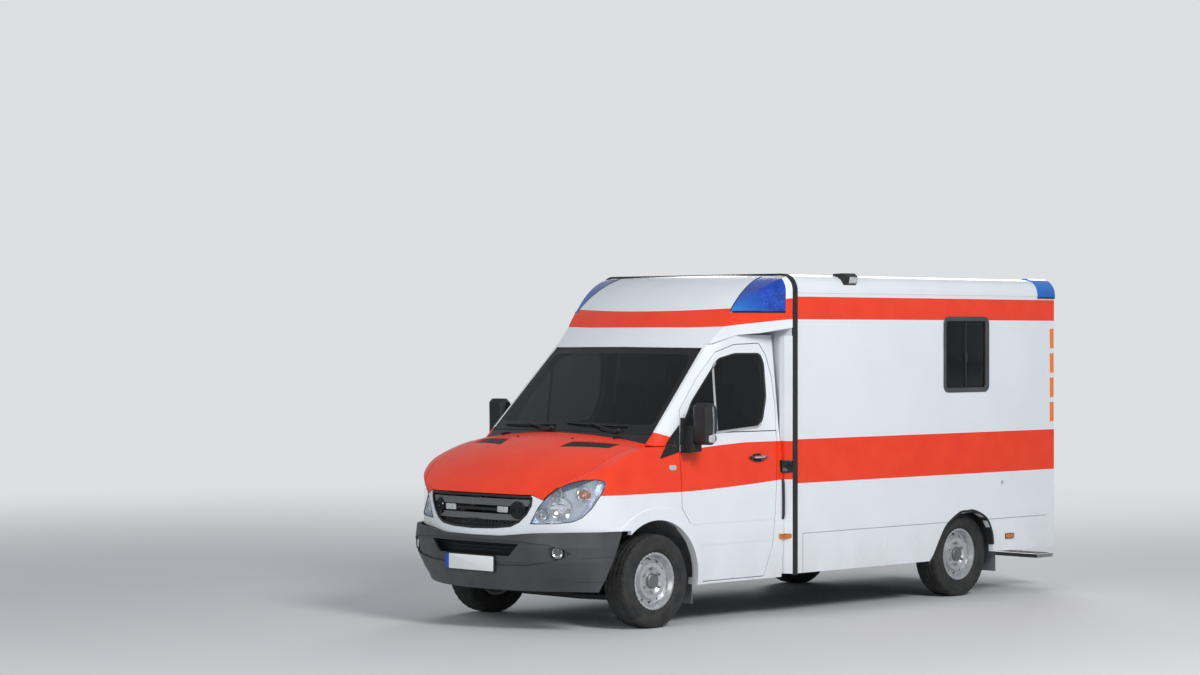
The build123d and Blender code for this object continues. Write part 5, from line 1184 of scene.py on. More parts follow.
# %% Wipers
# Wiper: spindle, elbow and the blade's two ends, each as (y, z) seen from ahead
WIPERS = (
    ("driver", (0.560, 1.452), (0.250, 1.512), (0.610, 1.490), (-0.010, 1.506)),
    ("passenger", (-0.130, 1.460), (-0.440, 1.500), (-0.125, 1.492), (-0.735, 1.478)),
)
LEAN_BACK = (1, 0, 0.8)
for word, spindle, elbow, blade_from, blade_to in WIPERS:
    t = np.linspace(0, 1, 18)[:, None]
    bend = np.sin(np.pi * t[:, 0])
    blade_line = np.asarray(blade_from) * (1 - t) + np.asarray(blade_to) * t
    rubber_path = on_screen(blade_line, 0.006)
    bow_path = on_screen(blade_line, 0.016)
    bow_path[:, 0] += 0.006 * bend
    arm_line = np.asarray(spindle) * (1 - t) + np.asarray(elbow) * t
    arm_path = on_screen(arm_line, 0.024)
    arm_path[:, 0] += 0.014 * bend
    boss_at = on_screen(np.asarray([spindle]))[0]
    lip = [(-0.002, -0.006), (0.002, -0.006), (0.0035, 0.006), (-0.0035, 0.006)]
    boss = [(-0.02, 0.0), (-0.02, 0.019), (0.018, 0.019), (0.026, 0.014), (0.028, 0.0)]
    parts = [
        sweep(rubber_path, lip, up=LEAN_BACK),
        sweep(bow_path, circle(0.0062, 8, 0.6), up=LEAN_BACK, flare=0.45 + 0.55 * bend),
        sweep(arm_path, circle(0.0085, 8, 0.55), up=LEAN_BACK, flare=1.15 - 0.5 * t[:, 0]),
        lathe(boss, boss_at, (0.75, 0, 0.66), 24),
    ]
    piece(f"wiper_{word}", parts, black_plastic, "body")
print("two wipers rest on the glass")

# %% [markdown]
# The hood's air vents are black grids set in shallow recesses. The hood opens, so they ride on it. Their
# outline is a leaning four-sided figure, filled by blending its four corners, with ribs as a wave.

# %% Hood vents and washer jets
VENT_RIBS = 15
VENT_CORNERS = np.array([(0.392, 0.315), (0.275, 0.736), (0.151, 0.760), (0.261, 0.342)])
for word, side in SIDES.items():
    u, v = np.meshgrid(np.linspace(0.012, 0.988, 61), np.linspace(0.03, 0.97, 9), indexing="ij")
    a, b, c, d = (corner[None, None] for corner in VENT_CORNERS)
    flat = (1 - u)[..., None] * ((1 - v)[..., None] * a + v[..., None] * d) + u[..., None] * (
        (1 - v)[..., None] * b + v[..., None] * c)
    start = xyz(ahead(flat[..., 0]), side * flat[..., 1], 1.8)
    grid = landing(start, (0, 0, -1), "hood").reshape(*u.shape, 3)
    grid[..., 2] += 0.0016 + 0.0036 * (np.sin(u * (2 * VENT_RIBS) * np.pi) > 0.25)
    edge = np.concatenate([grid[:, 0], grid[-1, 1:], grid[-2::-1, -1], grid[0, -2:0:-1]])
    wall = np.stack([edge, edge - (0, 0, 0.006)])
    piece(f"hood_vent_{word}", [(grid, skin(61, 9)), (wall, skin(2, len(edge), close_columns=True))], black_plastic,
          "hood", smooth_below=20)
    jet = landing([(ahead(0.22), side * 0.30, 1.8)], (0, 0, -1), "hood")[0]
    nozzle = [(-0.004, 0.0), (-0.004, 0.011), (0.004, 0.010), (0.008, 0.006), (0.009, 0.0)]
    piece(f"washer_jet_{word}", [lathe(nozzle, jet, (0, 0, 1), 20)], black_plastic, "hood")
print("hood vents have", VENT_RIBS, "ribs each")

# %% [markdown]
# A door window slides in a rubber run, with a pale lower edge, and a thin bar parts the fixed quarter light
# from the drop glass. The run follows the glass's outline, dropped on the door from the side.

# %% Door window seals, bars and handles
WINDOW_STEPS, GRIP_STEPS = 200, 22
WINDOW_OUTLINE = np.array([
    (-0.437, 1.676), (-0.305, 1.470), (-0.560, 1.432), (-1.169, 1.473), (-1.226, 1.524), (-1.285, 1.700),
    (-1.288, 1.960), (-1.250, 2.035), (-0.960, 2.036), (-0.768, 1.996),
])
for word, side in SIDES.items():
    door, glass = f"cab_door_{word}", f"cab_glass_{word}"
    middle = WINDOW_OUTLINE.mean(axis=0)
    line = spread_along(rounded_outline(WINDOW_OUTLINE, 0.03, 5), WINDOW_STEPS, loop=True)
    outer = on_flank(middle + (line - middle) * 1.016, side, door, glass, stand_off=0.0008)
    crest = on_flank(middle + (line - middle) * 1.004, side, door, glass, stand_off=0.0045)
    inner = on_flank(middle + (line - middle) * 0.965, side, glass, stand_off=0.0012)
    crest[:, 1] = outer[:, 1] + side * 0.003
    seal = np.stack([outer, crest, inner + (0, side * 0.004, 0), inner])
    piece(f"door_window_seal_{word}", [(seal, skin(4, WINDOW_STEPS, close_columns=True))], seal_rubber, door,
          turn_outward=False, smooth_below=50)
    low = (line[:, 1] < 1.50) & (line[:, 0] < -0.56)
    sill = line[low][np.argsort(line[low][:, 0])]
    sill_path = on_flank(middle + (sill - middle) * 1.012, side, door, stand_off=0.004)
    piece(f"door_sill_strip_{word}", [sweep(sill_path, circle(0.008, 8, 0.5), up=(0, side, 0.2))], pale_plastic,
          door)
    bar = np.linspace((-0.700, 1.452), (-0.712, 1.968), 16)
    bar_path = on_flank(bar, side, glass, stand_off=0.003)
    piece(f"quarter_light_bar_{word}", [sweep(bar_path, circle(0.012, 10, 0.35), up=(0, side, 0))], pale_plastic,
          door)
    # The handle: a bowl, a bar on two stems and a lock
    spot = on_flank([(-1.125, 1.232)], side, door)[0]
    arch = np.sin(np.linspace(0, np.pi, GRIP_STEPS)) ** 0.5
    flare = 0.8 + 0.3 * arch
    grip = xyz(ahead(np.linspace(-1.030, -1.215, GRIP_STEPS)), spot[1] + side * (0.006 + 0.034 * arch), 1.236)
    piece(f"door_grip_{word}", [sweep(grip, circle(0.0125, 12, 0.62), up=(0, side, 0.01), flare=flare)],
          black_plastic, door)
    shine = (grip + (0, side * 0.0052, 0.004))[3:-3]
    piece(f"door_grip_inlay_{word}", [sweep(shine, circle(0.0085, 10, 0.5), up=(0, side, 0.01), flare=flare[3:-3])],
          bright_metal, door)
    dish = rounded_outline([(-1.065, 1.205), (-1.065, 1.262), (-1.170, 1.268), (-1.170, 1.198)], 0.03)
    piece(f"door_handle_dish_{word}", [draped(dish, side, 0.0016, door, bevel=0.0008)], gloss_black, door)
    lock = on_flank([(-1.243, 1.236)], side, door)[0]
    barrel = [(-0.003, 0.0), (-0.003, 0.012), (0.003, 0.0115), (0.004, 0.008), (0.003, 0.0)]
    piece(f"door_lock_{word}", [lathe(barrel, lock, (0, side, 0), 24)], plain_steel, door)
print("door windows have seals, bars and sill strips; doors have handles")

# %% [markdown]
# The mirrors have glass at the back, a bright strip down the outer edge and a clear repeater at the lower
# outer corner. A black triangle carries the arm: its tip lies on the wing and pillar, the rest on the door.

# %% Mirrors
# Sail triangle, split at the door's front edge: (ahead of the axle, z)
SAIL_TIP = np.array([(-0.036, 1.258), (-0.2505, 1.302), (-0.2815, 1.505), (-0.150, 1.396)])
SAIL_FOOT = np.array([
    (-0.2635, 1.304), (-0.386, 1.310), (-0.382, 1.430), (-0.309, 1.452), (-0.296, 1.474), (-0.343, 1.556),
    (-0.3005, 1.556),
])
MIRROR_Y = 1.122
for word, side in SIDES.items():
    door, mirror, y = f"cab_door_{word}", f"mirror_{word}", side * MIRROR_Y
    rear = landing([(ahead(-0.8), y, 1.515)], (1, 0, 0), mirror)[0][0]
    glass_outline = rectangle((y - 0.072, 1.440), (y + 0.072, 1.632), 0.024, 6)
    wide_outline = rectangle((y - 0.068, 1.382), (y + 0.068, 1.430), 0.018, 6)
    piece(f"mirror_glass_{word}", [plate(glass_outline, on_back(rear - 0.0005), 0.003, 0.001),
                                   plate(wide_outline, on_back(rear - 0.0005), 0.003, 0.001, dome=0.002)],
          mirror_glass, door)
    bow = ahead(-0.330 - 0.030 * np.cos(np.linspace(-0.8, 0.8, 24)))
    start = xyz(bow, side * (MIRROR_Y + 0.0865), np.linspace(1.385, 1.645, 24)) + (0, side * 0.08, 0)
    strip = landing(start, (0, -side, 0), mirror, stand_off=-0.0005)
    piece(f"mirror_strip_{word}", [sweep(strip, circle(0.0075, 10, 0.45), up=(0, side, 0))], bright_metal, door)
    repeat = rounded_outline([(-0.378, 1.372), (-0.318, 1.378), (-0.316, 1.428), (-0.376, 1.446)], 0.012, 5)
    piece(f"mirror_repeater_{word}", [draped(repeat, side, 0.004, mirror, bevel=0.002)], white_lens, door)
    tip = rounded_outline(SAIL_TIP, (0.010, 0.003, 0.003, 0.05))
    piece(f"mirror_sail_tip_{word}", [draped(tip, side, 0.007, "cab_frame", f"fender_{word}", bevel=0.003, rings=8)],
          black_plastic, "body")
    foot = rounded_outline(SAIL_FOOT, (0.003, 0.03, 0.02, 0.01, 0.01, 0.01, 0.003), 5)
    piece(f"mirror_sail_{word}", [draped(foot, side, 0.008, door, bevel=0.003, rings=8)], black_plastic, door)
print("mirrors have glass, strips, repeaters and sail triangles")

# %% [markdown]
# On the wing is a small repeater, and behind the door are the marks of the rescue body's own fittings: a
# dark grab rail, a latch and an amber marker.

# %% Wing repeater, grab rail, latch and marker
for word, side in SIDES.items():
    repeat = rectangle((-0.205, 1.168), (-0.135, 1.206), 0.008, 4)
    piece(f"wing_repeater_{word}", [draped(repeat, side, 0.006, f"fender_{word}", bevel=0.002)], white_lens,
          "body")
    rail_z = np.linspace(0.752, 1.062, 20)
    rail = on_flank(np.stack([np.linspace(-1.392, -1.398, 20), rail_z], 1), side, "cab_frame", "box_front_wall")
    bow = np.clip(np.minimum(rail_z - 0.752, 1.062 - rail_z) / 0.03, 0, 1) ** 0.5
    rail[:, 1] += side * (0.002 + 0.008 * bow)
    piece(f"pillar_rail_{word}", [sweep(rail, circle(0.013, 12, 0.6), up=(0, side, 0))], black_plastic, "body")
    latch = rectangle((-1.437, 1.108), (-1.376, 1.208), 0.012, 4)
    piece(f"pillar_latch_{word}", [draped(latch, side, 0.006, "box_front_wall", "cab_frame", bevel=0.002)],
          gloss_black, "body")
    marker = rectangle((-1.432, 0.598), (-1.352, 0.638), 0.008, 4)
    piece(f"pillar_marker_{word}", [draped(marker, side, 0.008, "box_front_wall", "cab_frame", bevel=0.003)],
          amber_lens, "body")
print("wings and pillars have their small fittings")

# %% [markdown]
# Between the bulkhead's top and the strip under the windscreen a real cab is closed by the cowl, so that
# nobody looks from the seats into the engine bay. It is one bent sheet: at every place across the cab its
# lower edge sits on the bulkhead, and its upper edge lies under the strip, which curves back to the sides.

# %% Cowl panel
COWL_THICK = 0.004
across = np.linspace(-0.88, 0.88, 33)
away = np.abs(across)
foot = xyz(ahead(-0.083), across, 1.288)
head = xyz(np.interp(away, (0.0, 0.5, 0.8, 0.88), (2.062, 2.045, 2.010, 1.990)), across,
           np.interp(away, (0.0, 0.5, 0.8, 0.88), (1.386, 1.370, 1.356, 1.354)))
thick = np.array([COWL_THICK, 0.0, 0.0])
cowl = np.stack([foot, head, head + thick, foot + thick], 1)
ends = [(cowl[row], np.array([[0, 1, 2, 3]])) for row in (0, -1)]
piece("cowl_panel", [(cowl, skin(33, 4, close_columns=True))] + ends, black_plastic, "body")
print("cowl panel rises from", round(float(foot[0, 2]), 3), "to", round(float(head[16, 2]), 3))

# %% [markdown]
# Windows in the rescue body are framed units. A frame is a closed section carried round a rounded
# rectangle: every point of the section is a copy of the outline, moved inwards by an inset and lifted off
# the wall by a height, and the copies are joined to each other in a ring.

# %% Framed windows of the rescue body
FRAME_SECTION = (
    # inset from the hole's edge, height above the panel
    (-0.0115, 0.0003), (-0.0120, 0.0050), (-0.0085, 0.0085), (0.0060, 0.0098), (0.0190, 0.0080), (0.0255, 0.0020),
    (0.0272, -0.0060), (0.0272, -0.0300), (0.0012, -0.0300), (0.0012, 0.0003),
)


def framed(outline, section, place):
    """A ring whose section is (inset, height) points carried round a counter-clockwise outline."""
    inner = inward(outline)
    rings = np.stack([place(outline + inner * inset, height) for inset, height in section])
    return rings, skin(len(section), len(outline), close_rows=True, close_columns=True)


WINDOW_LOW, WINDOW_HIGH = (ahead(-3.924), 1.715), (ahead(-3.335), 2.319)
window_edge = rectangle(WINDOW_LOW, WINDOW_HIGH, 0.055, 9)
piece("side_window_frame", [framed(window_edge, FRAME_SECTION, on_side(1, BOX_HALF))], window_grey, "body",
      ("box_window",))
pane_edge = window_edge + inward(window_edge) * 0.020
piece("side_window_pane", [plate(pane_edge, on_side(1, BOX_HALF - 0.016), 0.005, 0.0015)], body_glass, "body")
WINDOW_MIDDLE = (WINDOW_LOW[0] + WINDOW_HIGH[0]) / 2
divider = rectangle((WINDOW_MIDDLE - 0.009, WINDOW_LOW[1] + 0.024),
                    (WINDOW_MIDDLE + 0.009, WINDOW_HIGH[1] - 0.024), 0.002, 3)
catch = rectangle((WINDOW_MIDDLE - 0.016, 1.955), (WINDOW_MIDDLE + 0.016, 2.035), 0.008, 4)
piece("side_window_divider", [plate(divider, on_side(1, BOX_HALF - 0.014), 0.010, 0.002),
                              plate(catch, on_side(1, BOX_HALF - 0.014), 0.016, 0.003)], black_plastic, "body")
door_window = rectangle((ahead(-2.300), 1.560), (ahead(-1.850), 2.150), 0.055, 9)
piece("side_door_window_frame", [framed(door_window, FRAME_SECTION, on_side(-1, BOX_HALF))], window_grey,
      "side_door")
for word, low_y in (("left", 0.240), ("right", -0.740)):
    rear_window = rectangle((low_y, 1.450), (low_y + 0.500, 2.200), 0.055, 9)
    piece(f"rear_window_frame_{word}", [framed(rear_window, FRAME_SECTION, on_back(BOX_BACK))], window_grey,
          f"rear_door_{word}")
print("four framed windows, sections of", len(FRAME_SECTION), "points")

# %% [markdown]
# A rubber bead runs round every door of the rescue body, just inside the door's edge, so it moves with the
# door and never touches the frame. Doors also need a handle: a lever in a shallow dish, lifted by a bow.

# %% Door beads, handles, centre strip and buffers
BEAD_SECTION = ((0.0008, -0.0008), (0.0008, 0.0020), (0.0024, 0.0030), (0.0048, 0.0020), (0.0054, -0.0008))
side_edge = rectangle((ahead(-2.494), 0.406), (ahead(-1.656), 2.234), 0.004, 3)
piece("side_door_bead", [framed(side_edge, BEAD_SECTION, on_side(-1, BOX_HALF))], seal_rubber, "side_door")
for word, low_y in (("left", 0.003), ("right", -0.959)):
    rear_edge = rectangle((low_y, 0.606), (low_y + 0.956, 2.424), 0.004, 3)
    piece(f"rear_door_bead_{word}", [framed(rear_edge, BEAD_SECTION, on_back(BOX_BACK))], seal_rubber,
          f"rear_door_{word}")


def lever(centre, along, out, length):
    """A pull handle: a flattened bar from end to end of its length that bows out from two feet."""
    t = np.linspace(-1, 1, 25)
    bow = np.clip((1 - np.abs(t)) / 0.25, 0, 1) ** 0.5
    path = np.asarray(centre) + np.outer(t * length / 2, along) + np.outer(0.004 + 0.030 * bow, out)
    return sweep(path, circle(0.0115, 12, 0.6), up=out, flare=0.85 + 0.2 * bow)


dish = rectangle((ahead(-2.430), 1.160), (ahead(-2.330), 1.260), 0.022, 6)
piece("side_door_dish", [plate(dish, on_side(-1, BOX_HALF), 0.003, 0.0015)], gloss_black, "side_door")
piece("side_door_handle", [lever((ahead(-2.380), -BOX_HALF - 0.002, 1.210), (1, 0, 0), (0, -1, 0), 0.170)],
      black_plastic, "side_door")
dish = rectangle((0.055, 1.130), (0.135, 1.290), 0.022, 6)
piece("rear_door_dish", [plate(dish, on_back(BOX_BACK), 0.003, 0.0015)], gloss_black, "rear_door_left")
piece("rear_door_handle", [lever((BOX_BACK - 0.002, 0.095, 1.210), (0, 0, 1), (-1, 0, 0), 0.170)], black_plastic,
      "rear_door_left")
cover = rectangle((0.0075, 0.640), (0.034, 2.390), 0.006, 4)
piece("rear_centre_strip", [plate(cover, on_back(BOX_BACK), 0.0045, 0.002)], black_plastic, "rear_door_left")
for word, side in SIDES.items():
    stay = [lathe([(0.0, 0.0), (0.0, 0.017), (0.006, 0.016), (0.010, 0.010), (0.011, 0.0)],
                  (BOX_BACK, side * 0.86, z), (-1, 0, 0), 24) for z in (0.70, 1.36)]
    piece(f"rear_door_buffers_{word}", stay, seal_rubber, f"rear_door_{word}")
print("doors of the rescue body have beads, dishes and levers")

# %% [markdown]
# Along the rescue body's sides runs a thin gutter bead over the upper band. Low down are an orange side
# marker on each side, and on the left a round lock cap and the upright joint where the skirt begins.

# %% Gutter beads, side markers, lock cap and skirt joint
for word, side in SIDES.items():
    x = np.linspace(BOX_FRONT - 0.012, BOX_BACK + 0.246, 40)
    bead = xyz(x, side * (BOX_HALF + 0.0005), 2.512)
    piece(f"gutter_bead_{word}", [sweep(bead, circle(0.0062, 10, 0.62), up=(0, side, 0))], plain_white, "body")
    base = rectangle((ahead(-4.282), 0.457), (ahead(-4.162), 0.503), 0.010, 4)
    lens = rectangle((ahead(-4.276), 0.462), (ahead(-4.168), 0.498), 0.008, 4)
    piece(f"side_marker_base_{word}", [plate(base, on_side(side, BOX_HALF - 0.001), 0.007, 0.002)], black_plastic,
          "body")
    piece(f"side_marker_{word}", [plate(lens, on_side(side, BOX_HALF + 0.003), 0.012, 0.003, dome=0.001)],
          amber_lens, "body")
    joint = rectangle((ahead(-1.5600), 0.329), (ahead(-1.5565), 0.630), 0.001, 3)
    piece(f"skirt_joint_{word}", [plate(joint, on_side(side, BOX_HALF - 0.001), 0.0016, 0.0005)], seal_rubber,
          "body")
cap_profile = [(-0.002, 0.0), (-0.002, 0.0165), (0.003, 0.0160), (0.0045, 0.0130), (0.0035, 0.0105), (0.0045, 0.0)]
skirt_line = []
for begin, end in ((-1.560, -3.386), (-3.934, -4.786)):
    for side in SIDES.values():
        seam = xyz(ahead(np.linspace(begin, end, 12)), side * (BOX_HALF - 0.0018), 0.633)
        skirt_line.append(sweep(seam, circle(0.0022, 8), up=(0, side, 0)))
piece("skirt_lines", skirt_line, pale_plastic, "body")
piece("lock_cap", [lathe(cap_profile, (ahead(-4.120), BOX_HALF, 0.938), (0, 1, 0), 32)], pale_plastic, "body")
print("side markers, lock cap and joints are on the skirts")

# %% [markdown]
# A rubber lip lines each rear wheel arch and laps over the wall's edge. Its curve runs through the arch's
# few corners with a bend that changes evenly: every point is a blend of the four nearest corners, each
# weighed by a cubic of how far along the span the point is.

# %% Rear arch lips
ARCH_CORNERS = np.array([
    (-3.115, 0.210), (-3.1345, 0.300), (-3.200, 0.376), (-3.276, 0.492), (-3.372, 0.612), (-3.535, 0.702),
    (-3.640, 0.714), (-3.745, 0.711), (-3.903, 0.646), (-3.980, 0.532), (-4.000, 0.420), (-4.000, 0.325),
])


def through(points, per_span):
    """A curve through all but the first and last of the points, blended from four neighbours at a time."""
    points = np.asarray(points, float)
    before, begin, end, after = points[:-3, None], points[1:-2, None], points[2:-1, None], points[3:, None]
    t = np.linspace(0, 1, per_span, endpoint=False)[None, :, None]
    blend = 0.5 * (2 * begin + (end - before) * t + (2 * before - 5 * begin + 4 * end - after) * t**2
                   + (3 * begin - before - 3 * end + after) * t**3)
    return np.vstack([blend.reshape(-1, points.shape[1]), points[-2:-1]])


arch_curve = through(ARCH_CORNERS, 14)
for word, side in SIDES.items():
    lip = xyz(ahead(arch_curve[:, 0]), side * (BOX_HALF - 0.003), arch_curve[:, 1])
    section = np.array([(-0.012, -0.048), (0.001, -0.048), (0.001, 0.0045), (0.009, 0.0045), (0.007, 0.0068),
                        (-0.009, 0.0068), (-0.012, 0.0045)])
    piece(f"rear_arch_lip_{word}", [sweep(lip, section * (side, 1), up=(0, side, 0))], seal_rubber, "body")
print("two arch lips of", len(arch_curve), "steps")

# %% [markdown]
# The scene light on the roof edge has a silvered bowl behind a clear lens. The warning lights at the front
# and rear corners stand in black beds, which show as a dark line under each blue lens.

# %% Scene light, beacon beds and rear corner lenses
light_edge = rectangle((-2.203, 2.588), (-2.112, 2.640), 0.010)
piece("scene_light_bezel", [draped(light_edge, 1, 0.004, "scene_light", bevel=0.002)], bright_metal, "body")
light_lens = rectangle((-2.197, 2.594), (-2.118, 2.634), 0.008)
piece("scene_light_lens", [draped(light_lens, 1, 0.008, "scene_light", bevel=0.003)], white_lens, "body")

for word, side in SIDES.items():
    inner_line = spread_along([(-0.948, 0.836), (-0.957, 0.836), (-1.310, 0.777), (-1.380, 0.777)], 60)
    above = xyz(ahead(inner_line[:, 0]), side * inner_line[:, 1], 3.0)
    upper = landing(above, (0, 0, -1), f"beacon_{word}", stand_off=-0.0005)
    low_line = np.linspace((-0.953, 2.3575), (-1.381, 2.3575), 60)
    lower = on_flank(low_line, side, f"beacon_{word}", stand_off=-0.0005)
    piece(f"beacon_bed_{word}", [sweep(upper, circle(0.0045, 8, 0.7), up=(0, side * 0.5, 1)),
                                 sweep(lower, circle(0.0085, 8, 0.45), up=(0, side, 0.2))], gloss_black, "body")
    tail_bed = xyz(np.linspace(BOX_BACK + 0.243, BOX_BACK + 0.001, 20), side * (BOX_HALF + 0.0055), 2.4965)
    bed_section = rectangle((-0.0075, -0.0055), (0.0075, 0.0055), 0.002, 3)
    piece(f"tail_beacon_bed_{word}", [sweep(tail_bed, bed_section)], gloss_black, "body")
    turn = np.radians(np.linspace(2, 88, 16))
    corner = np.stack([0.920 + 0.120 * np.cos(turn), 2.520 + 0.120 * np.sin(turn)], 1)
    lens_edge = np.vstack([[(0.884, 2.512), (1.040, 2.512)], corner, [(0.884, 2.640)]]) * (side, 1)
    piece(f"tail_beacon_lens_{word}", [plate(lens_edge, on_back(BOX_BACK + 0.001), 0.016, 0.004)], blue_lens, "body")
print("scene light has its lens, and", 2 * len(SIDES), "blue corners have their beds")

# %% [markdown]
# The side door reaches lower than the floor, and behind it lies a step for the crew. Two plates make it: a
# tread between the sills, and a riser up to the floor. They stay clear of the door's inner face.

# %% Step inside the side door
TREAD_Z, RISER_Y = 0.350, -0.790
door_low, door_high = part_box("side_door")
step_from, step_to = door_low[0] + 0.02, door_high[0] - 0.02
tread = plate(rectangle((step_from, -0.975), (step_to, RISER_Y), 0.004), on_top(TREAD_Z), 0.014, 0.002)
riser = plate(rectangle((step_from, RISER_Y - 0.012), (step_to, RISER_Y), 0.002), on_top(TREAD_Z), 0.256, 0.002)
piece("side_step_well", [tread, riser], black_plastic, "body")
print("side step is", round(step_to - step_from, 3), "long behind a door that reaches in to", round(door_high[1], 3))

# %% [markdown]
# The photograph doesn't show the rear, so it is dressed the way such vehicles usually are: a lamp cluster
# at either side under the doors, red reflectors, a raised brake light over the doors, a blank plate, and a
# step with a ribbed tread.

# %% Rear lamps, blank plate and step tread
# Name, finish and share of the way from the inner to the outer end
TAIL_LENSES = (("stop", red_lens, 0.845), ("turn", amber_lens, 0.505), ("reverse", white_lens, 0.175))
for word, side in SIDES.items():
    near, far = sorted((side * 0.640, side * 0.985))
    housing = rectangle((near, 0.425), (far, 0.555), 0.022)
    piece(f"tail_lamp_housing_{word}", [plate(housing, on_back(BOX_BACK + 0.001), 0.020, 0.005)], black_plastic,
          "body")
    for label, finish, share in TAIL_LENSES:
        centre = side * (0.640 + 0.345 * share)
        lens = rectangle((centre - 0.050, 0.438), (centre + 0.050, 0.542), 0.012)
        piece(f"tail_lamp_{label}_{word}", [plate(lens, on_back(BOX_BACK - 0.017), 0.012, 0.004, dome=0.003)], finish,
              "body")
    reflector = rectangle((side * 1.006 - 0.022, 0.640), (side * 1.006 + 0.022, 0.760), 0.006, 4)
    piece(f"rear_reflector_{word}", [plate(reflector, on_back(BOX_BACK + 0.0005), 0.007, 0.002)], red_lens, "body")
brake_base = rectangle((-0.200, 2.492), (0.200, 2.540), 0.012, 5)
brake_lens = rectangle((-0.190, 2.499), (0.190, 2.533), 0.010, 5)
piece("high_brake_housing", [plate(brake_base, on_back(BOX_BACK + 0.001), 0.016, 0.004)], black_plastic, "body")
piece("high_brake_light", [plate(brake_lens, on_back(BOX_BACK - 0.013), 0.010, 0.003)], red_lens, "body")
plate_holder = rectangle((-0.268, 0.428), (0.268, 0.552), 0.012, 5)
rear_plate = rectangle((-0.222, 0.435), (0.260, 0.545), 0.008, 4)
rear_band = rectangle((-0.260, 0.435), (-0.2225, 0.545), 0.006, 4)
piece("rear_plate_holder", [plate(plate_holder, on_back(BOX_BACK + 0.001), 0.010, 0.002)], black_plastic, "body")
piece("rear_plate_blank", [plate(rear_plate, on_back(BOX_BACK - 0.008), 0.005, 0.0015)], plate_white, "body")
piece("rear_plate_band", [plate(rear_band * (-1, 1), on_back(BOX_BACK - 0.008), 0.005, 0.0015)], plate_blue,
      "body")

STEP_BACK, STEP_TOP, STEP_WIDE = BOX_BACK - 0.190, 0.282, 0.900
RIB_SECTION = ((-0.0045, -0.0020), (0.0045, -0.0020), (0.0030, 0.0028), (-0.0030, 0.0028))
run = np.linspace(-STEP_WIDE + 0.03, STEP_WIDE - 0.03, 9)
treads = [sweep(xyz(x, run, STEP_TOP + 0.0008), RIB_SECTION)
          for x in np.arange(STEP_BACK + 0.022, BOX_BACK - 0.012, 0.0165)]
mat = rectangle((STEP_BACK + 0.012, -STEP_WIDE + 0.02), (BOX_BACK - 0.006, STEP_WIDE - 0.02), 0.010, 4)
piece("step_tread", [plate(mat, on_top(STEP_TOP - 0.0005), 0.0022, 0.0006)] + treads, black_plastic, "body")
nosing = xyz(STEP_BACK + 0.004, np.linspace(-STEP_WIDE + 0.006, STEP_WIDE - 0.006, 9), 0.2745)
piece("step_nosing", [sweep(nosing, circle(0.0085))], amber_lens, "body")
print("rear lamps, plate and", len(treads), "tread ribs are in place")

# %% [markdown]
# Fasteners show on a working vehicle. Dome screws hold the door hinges' straps, three pairs to a strap, and
# each screw is a low turned dome.

# %% Hinge screws
SCREW_RADIUS = 0.0065
HINGE_SHARES, PAIR = (0.12, 0.5, 0.88), (-0.022, 0.022)


def screw(at, out):
    """A low domed screw head: a turned cap with a small recess in its crown."""
    shape = [(-0.001, 0.0), (-0.001, 1.0), (0.0012, 0.94), (0.0026, 0.60), (0.0030, 0.32), (0.0018, 0.26),
             (0.0018, 0.0)]
    return lathe([(reach, SCREW_RADIUS * share) for reach, share in shape], at, out, 16)


for word, side in SIDES.items():
    heads = [screw((BOX_BACK - 0.006, side * (0.965 - reach), 0.600 + share * 1.830 + rise), (-1, 0, 0))
             for share in HINGE_SHARES for reach in (0.040, 0.085, 0.122) for rise in PAIR]
    piece(f"rear_hinge_screws_{word}", heads, plain_steel, f"rear_door_{word}")
heads = [screw((ahead(-1.650 - reach), -BOX_HALF - 0.006, 0.400 + share * 1.840 + rise), (0, -1, 0))
         for share in HINGE_SHARES for reach in (0.035, 0.075, 0.112) for rise in PAIR]
piece("side_hinge_screws", heads, plain_steel, "side_door")
print("each door of the rescue body has", len(heads), "screws in its hinge straps")

# %% [markdown]
# The cab has a driver's seat and a bench for two. A cushion starts as a rounded block whose top is crowned:
# its thickness grows towards the middle like one minus a high power of the distance to the edge. It is then
# blown up a little by the cloth solver, so that its sides belly out between its corners.

# %% Padded seat forms
# Seat: name, centre across, width. All other places are the solids' own.
SEATS = (("driver", 0.420, 0.480), ("bench", -0.420, 0.760))
SEAT_DEEP, BACK_LONG = 0.470, 0.640
BACK_LEAN = math.atan2(0.130, 0.610)
FURTHEST_BULGE, PAD_VOXEL, REST_VOXEL = 0.010, 0.0085, 0.006


def pillow(half_long, half_wide, half_thick, crown, power=6.0, grid=(26, 22)):
    """A closed pad round the origin: both faces crowned, thinning to a rim by one minus a power of reach."""
    u, v = np.meshgrid(np.linspace(-1, 1, grid[0]), np.linspace(-1, 1, grid[1]), indexing="ij")
    reach = (np.abs(u) ** power + np.abs(v) ** power) / 2
    thick = half_thick * (1 - reach * 0.30) + crown * (1 - u**2) * (1 - v**2)
    pull = 1 - 0.030 * (u**2 * v**2)
    top = np.stack([u * half_long * pull, v * half_wide * pull, thick], -1)
    bottom = np.stack([u * half_long * pull, v * half_wide * pull, -half_thick * (1 - reach * 0.30)], -1)
    edge_top = np.concatenate([top[:-1, 0], top[-1, :-1], top[:0:-1, -1], top[0, :0:-1]])
    edge_bottom = np.concatenate([bottom[:-1, 0], bottom[-1, :-1], bottom[:0:-1, -1], bottom[0, :0:-1]])
    share = np.linspace(0, 1, 6)[:, None, None]
    bulge = np.sin(np.pi * share) * 0.012
    middle = edge_top * (1 - share) + edge_bottom * share
    out = middle * (1, 1, 0)
    side = middle + out / np.linalg.norm(out, axis=-1, keepdims=True) * bulge
    return [(top, skin(*grid)), (bottom, skin(*grid)), (side, skin(6, len(edge_top), close_columns=True))]


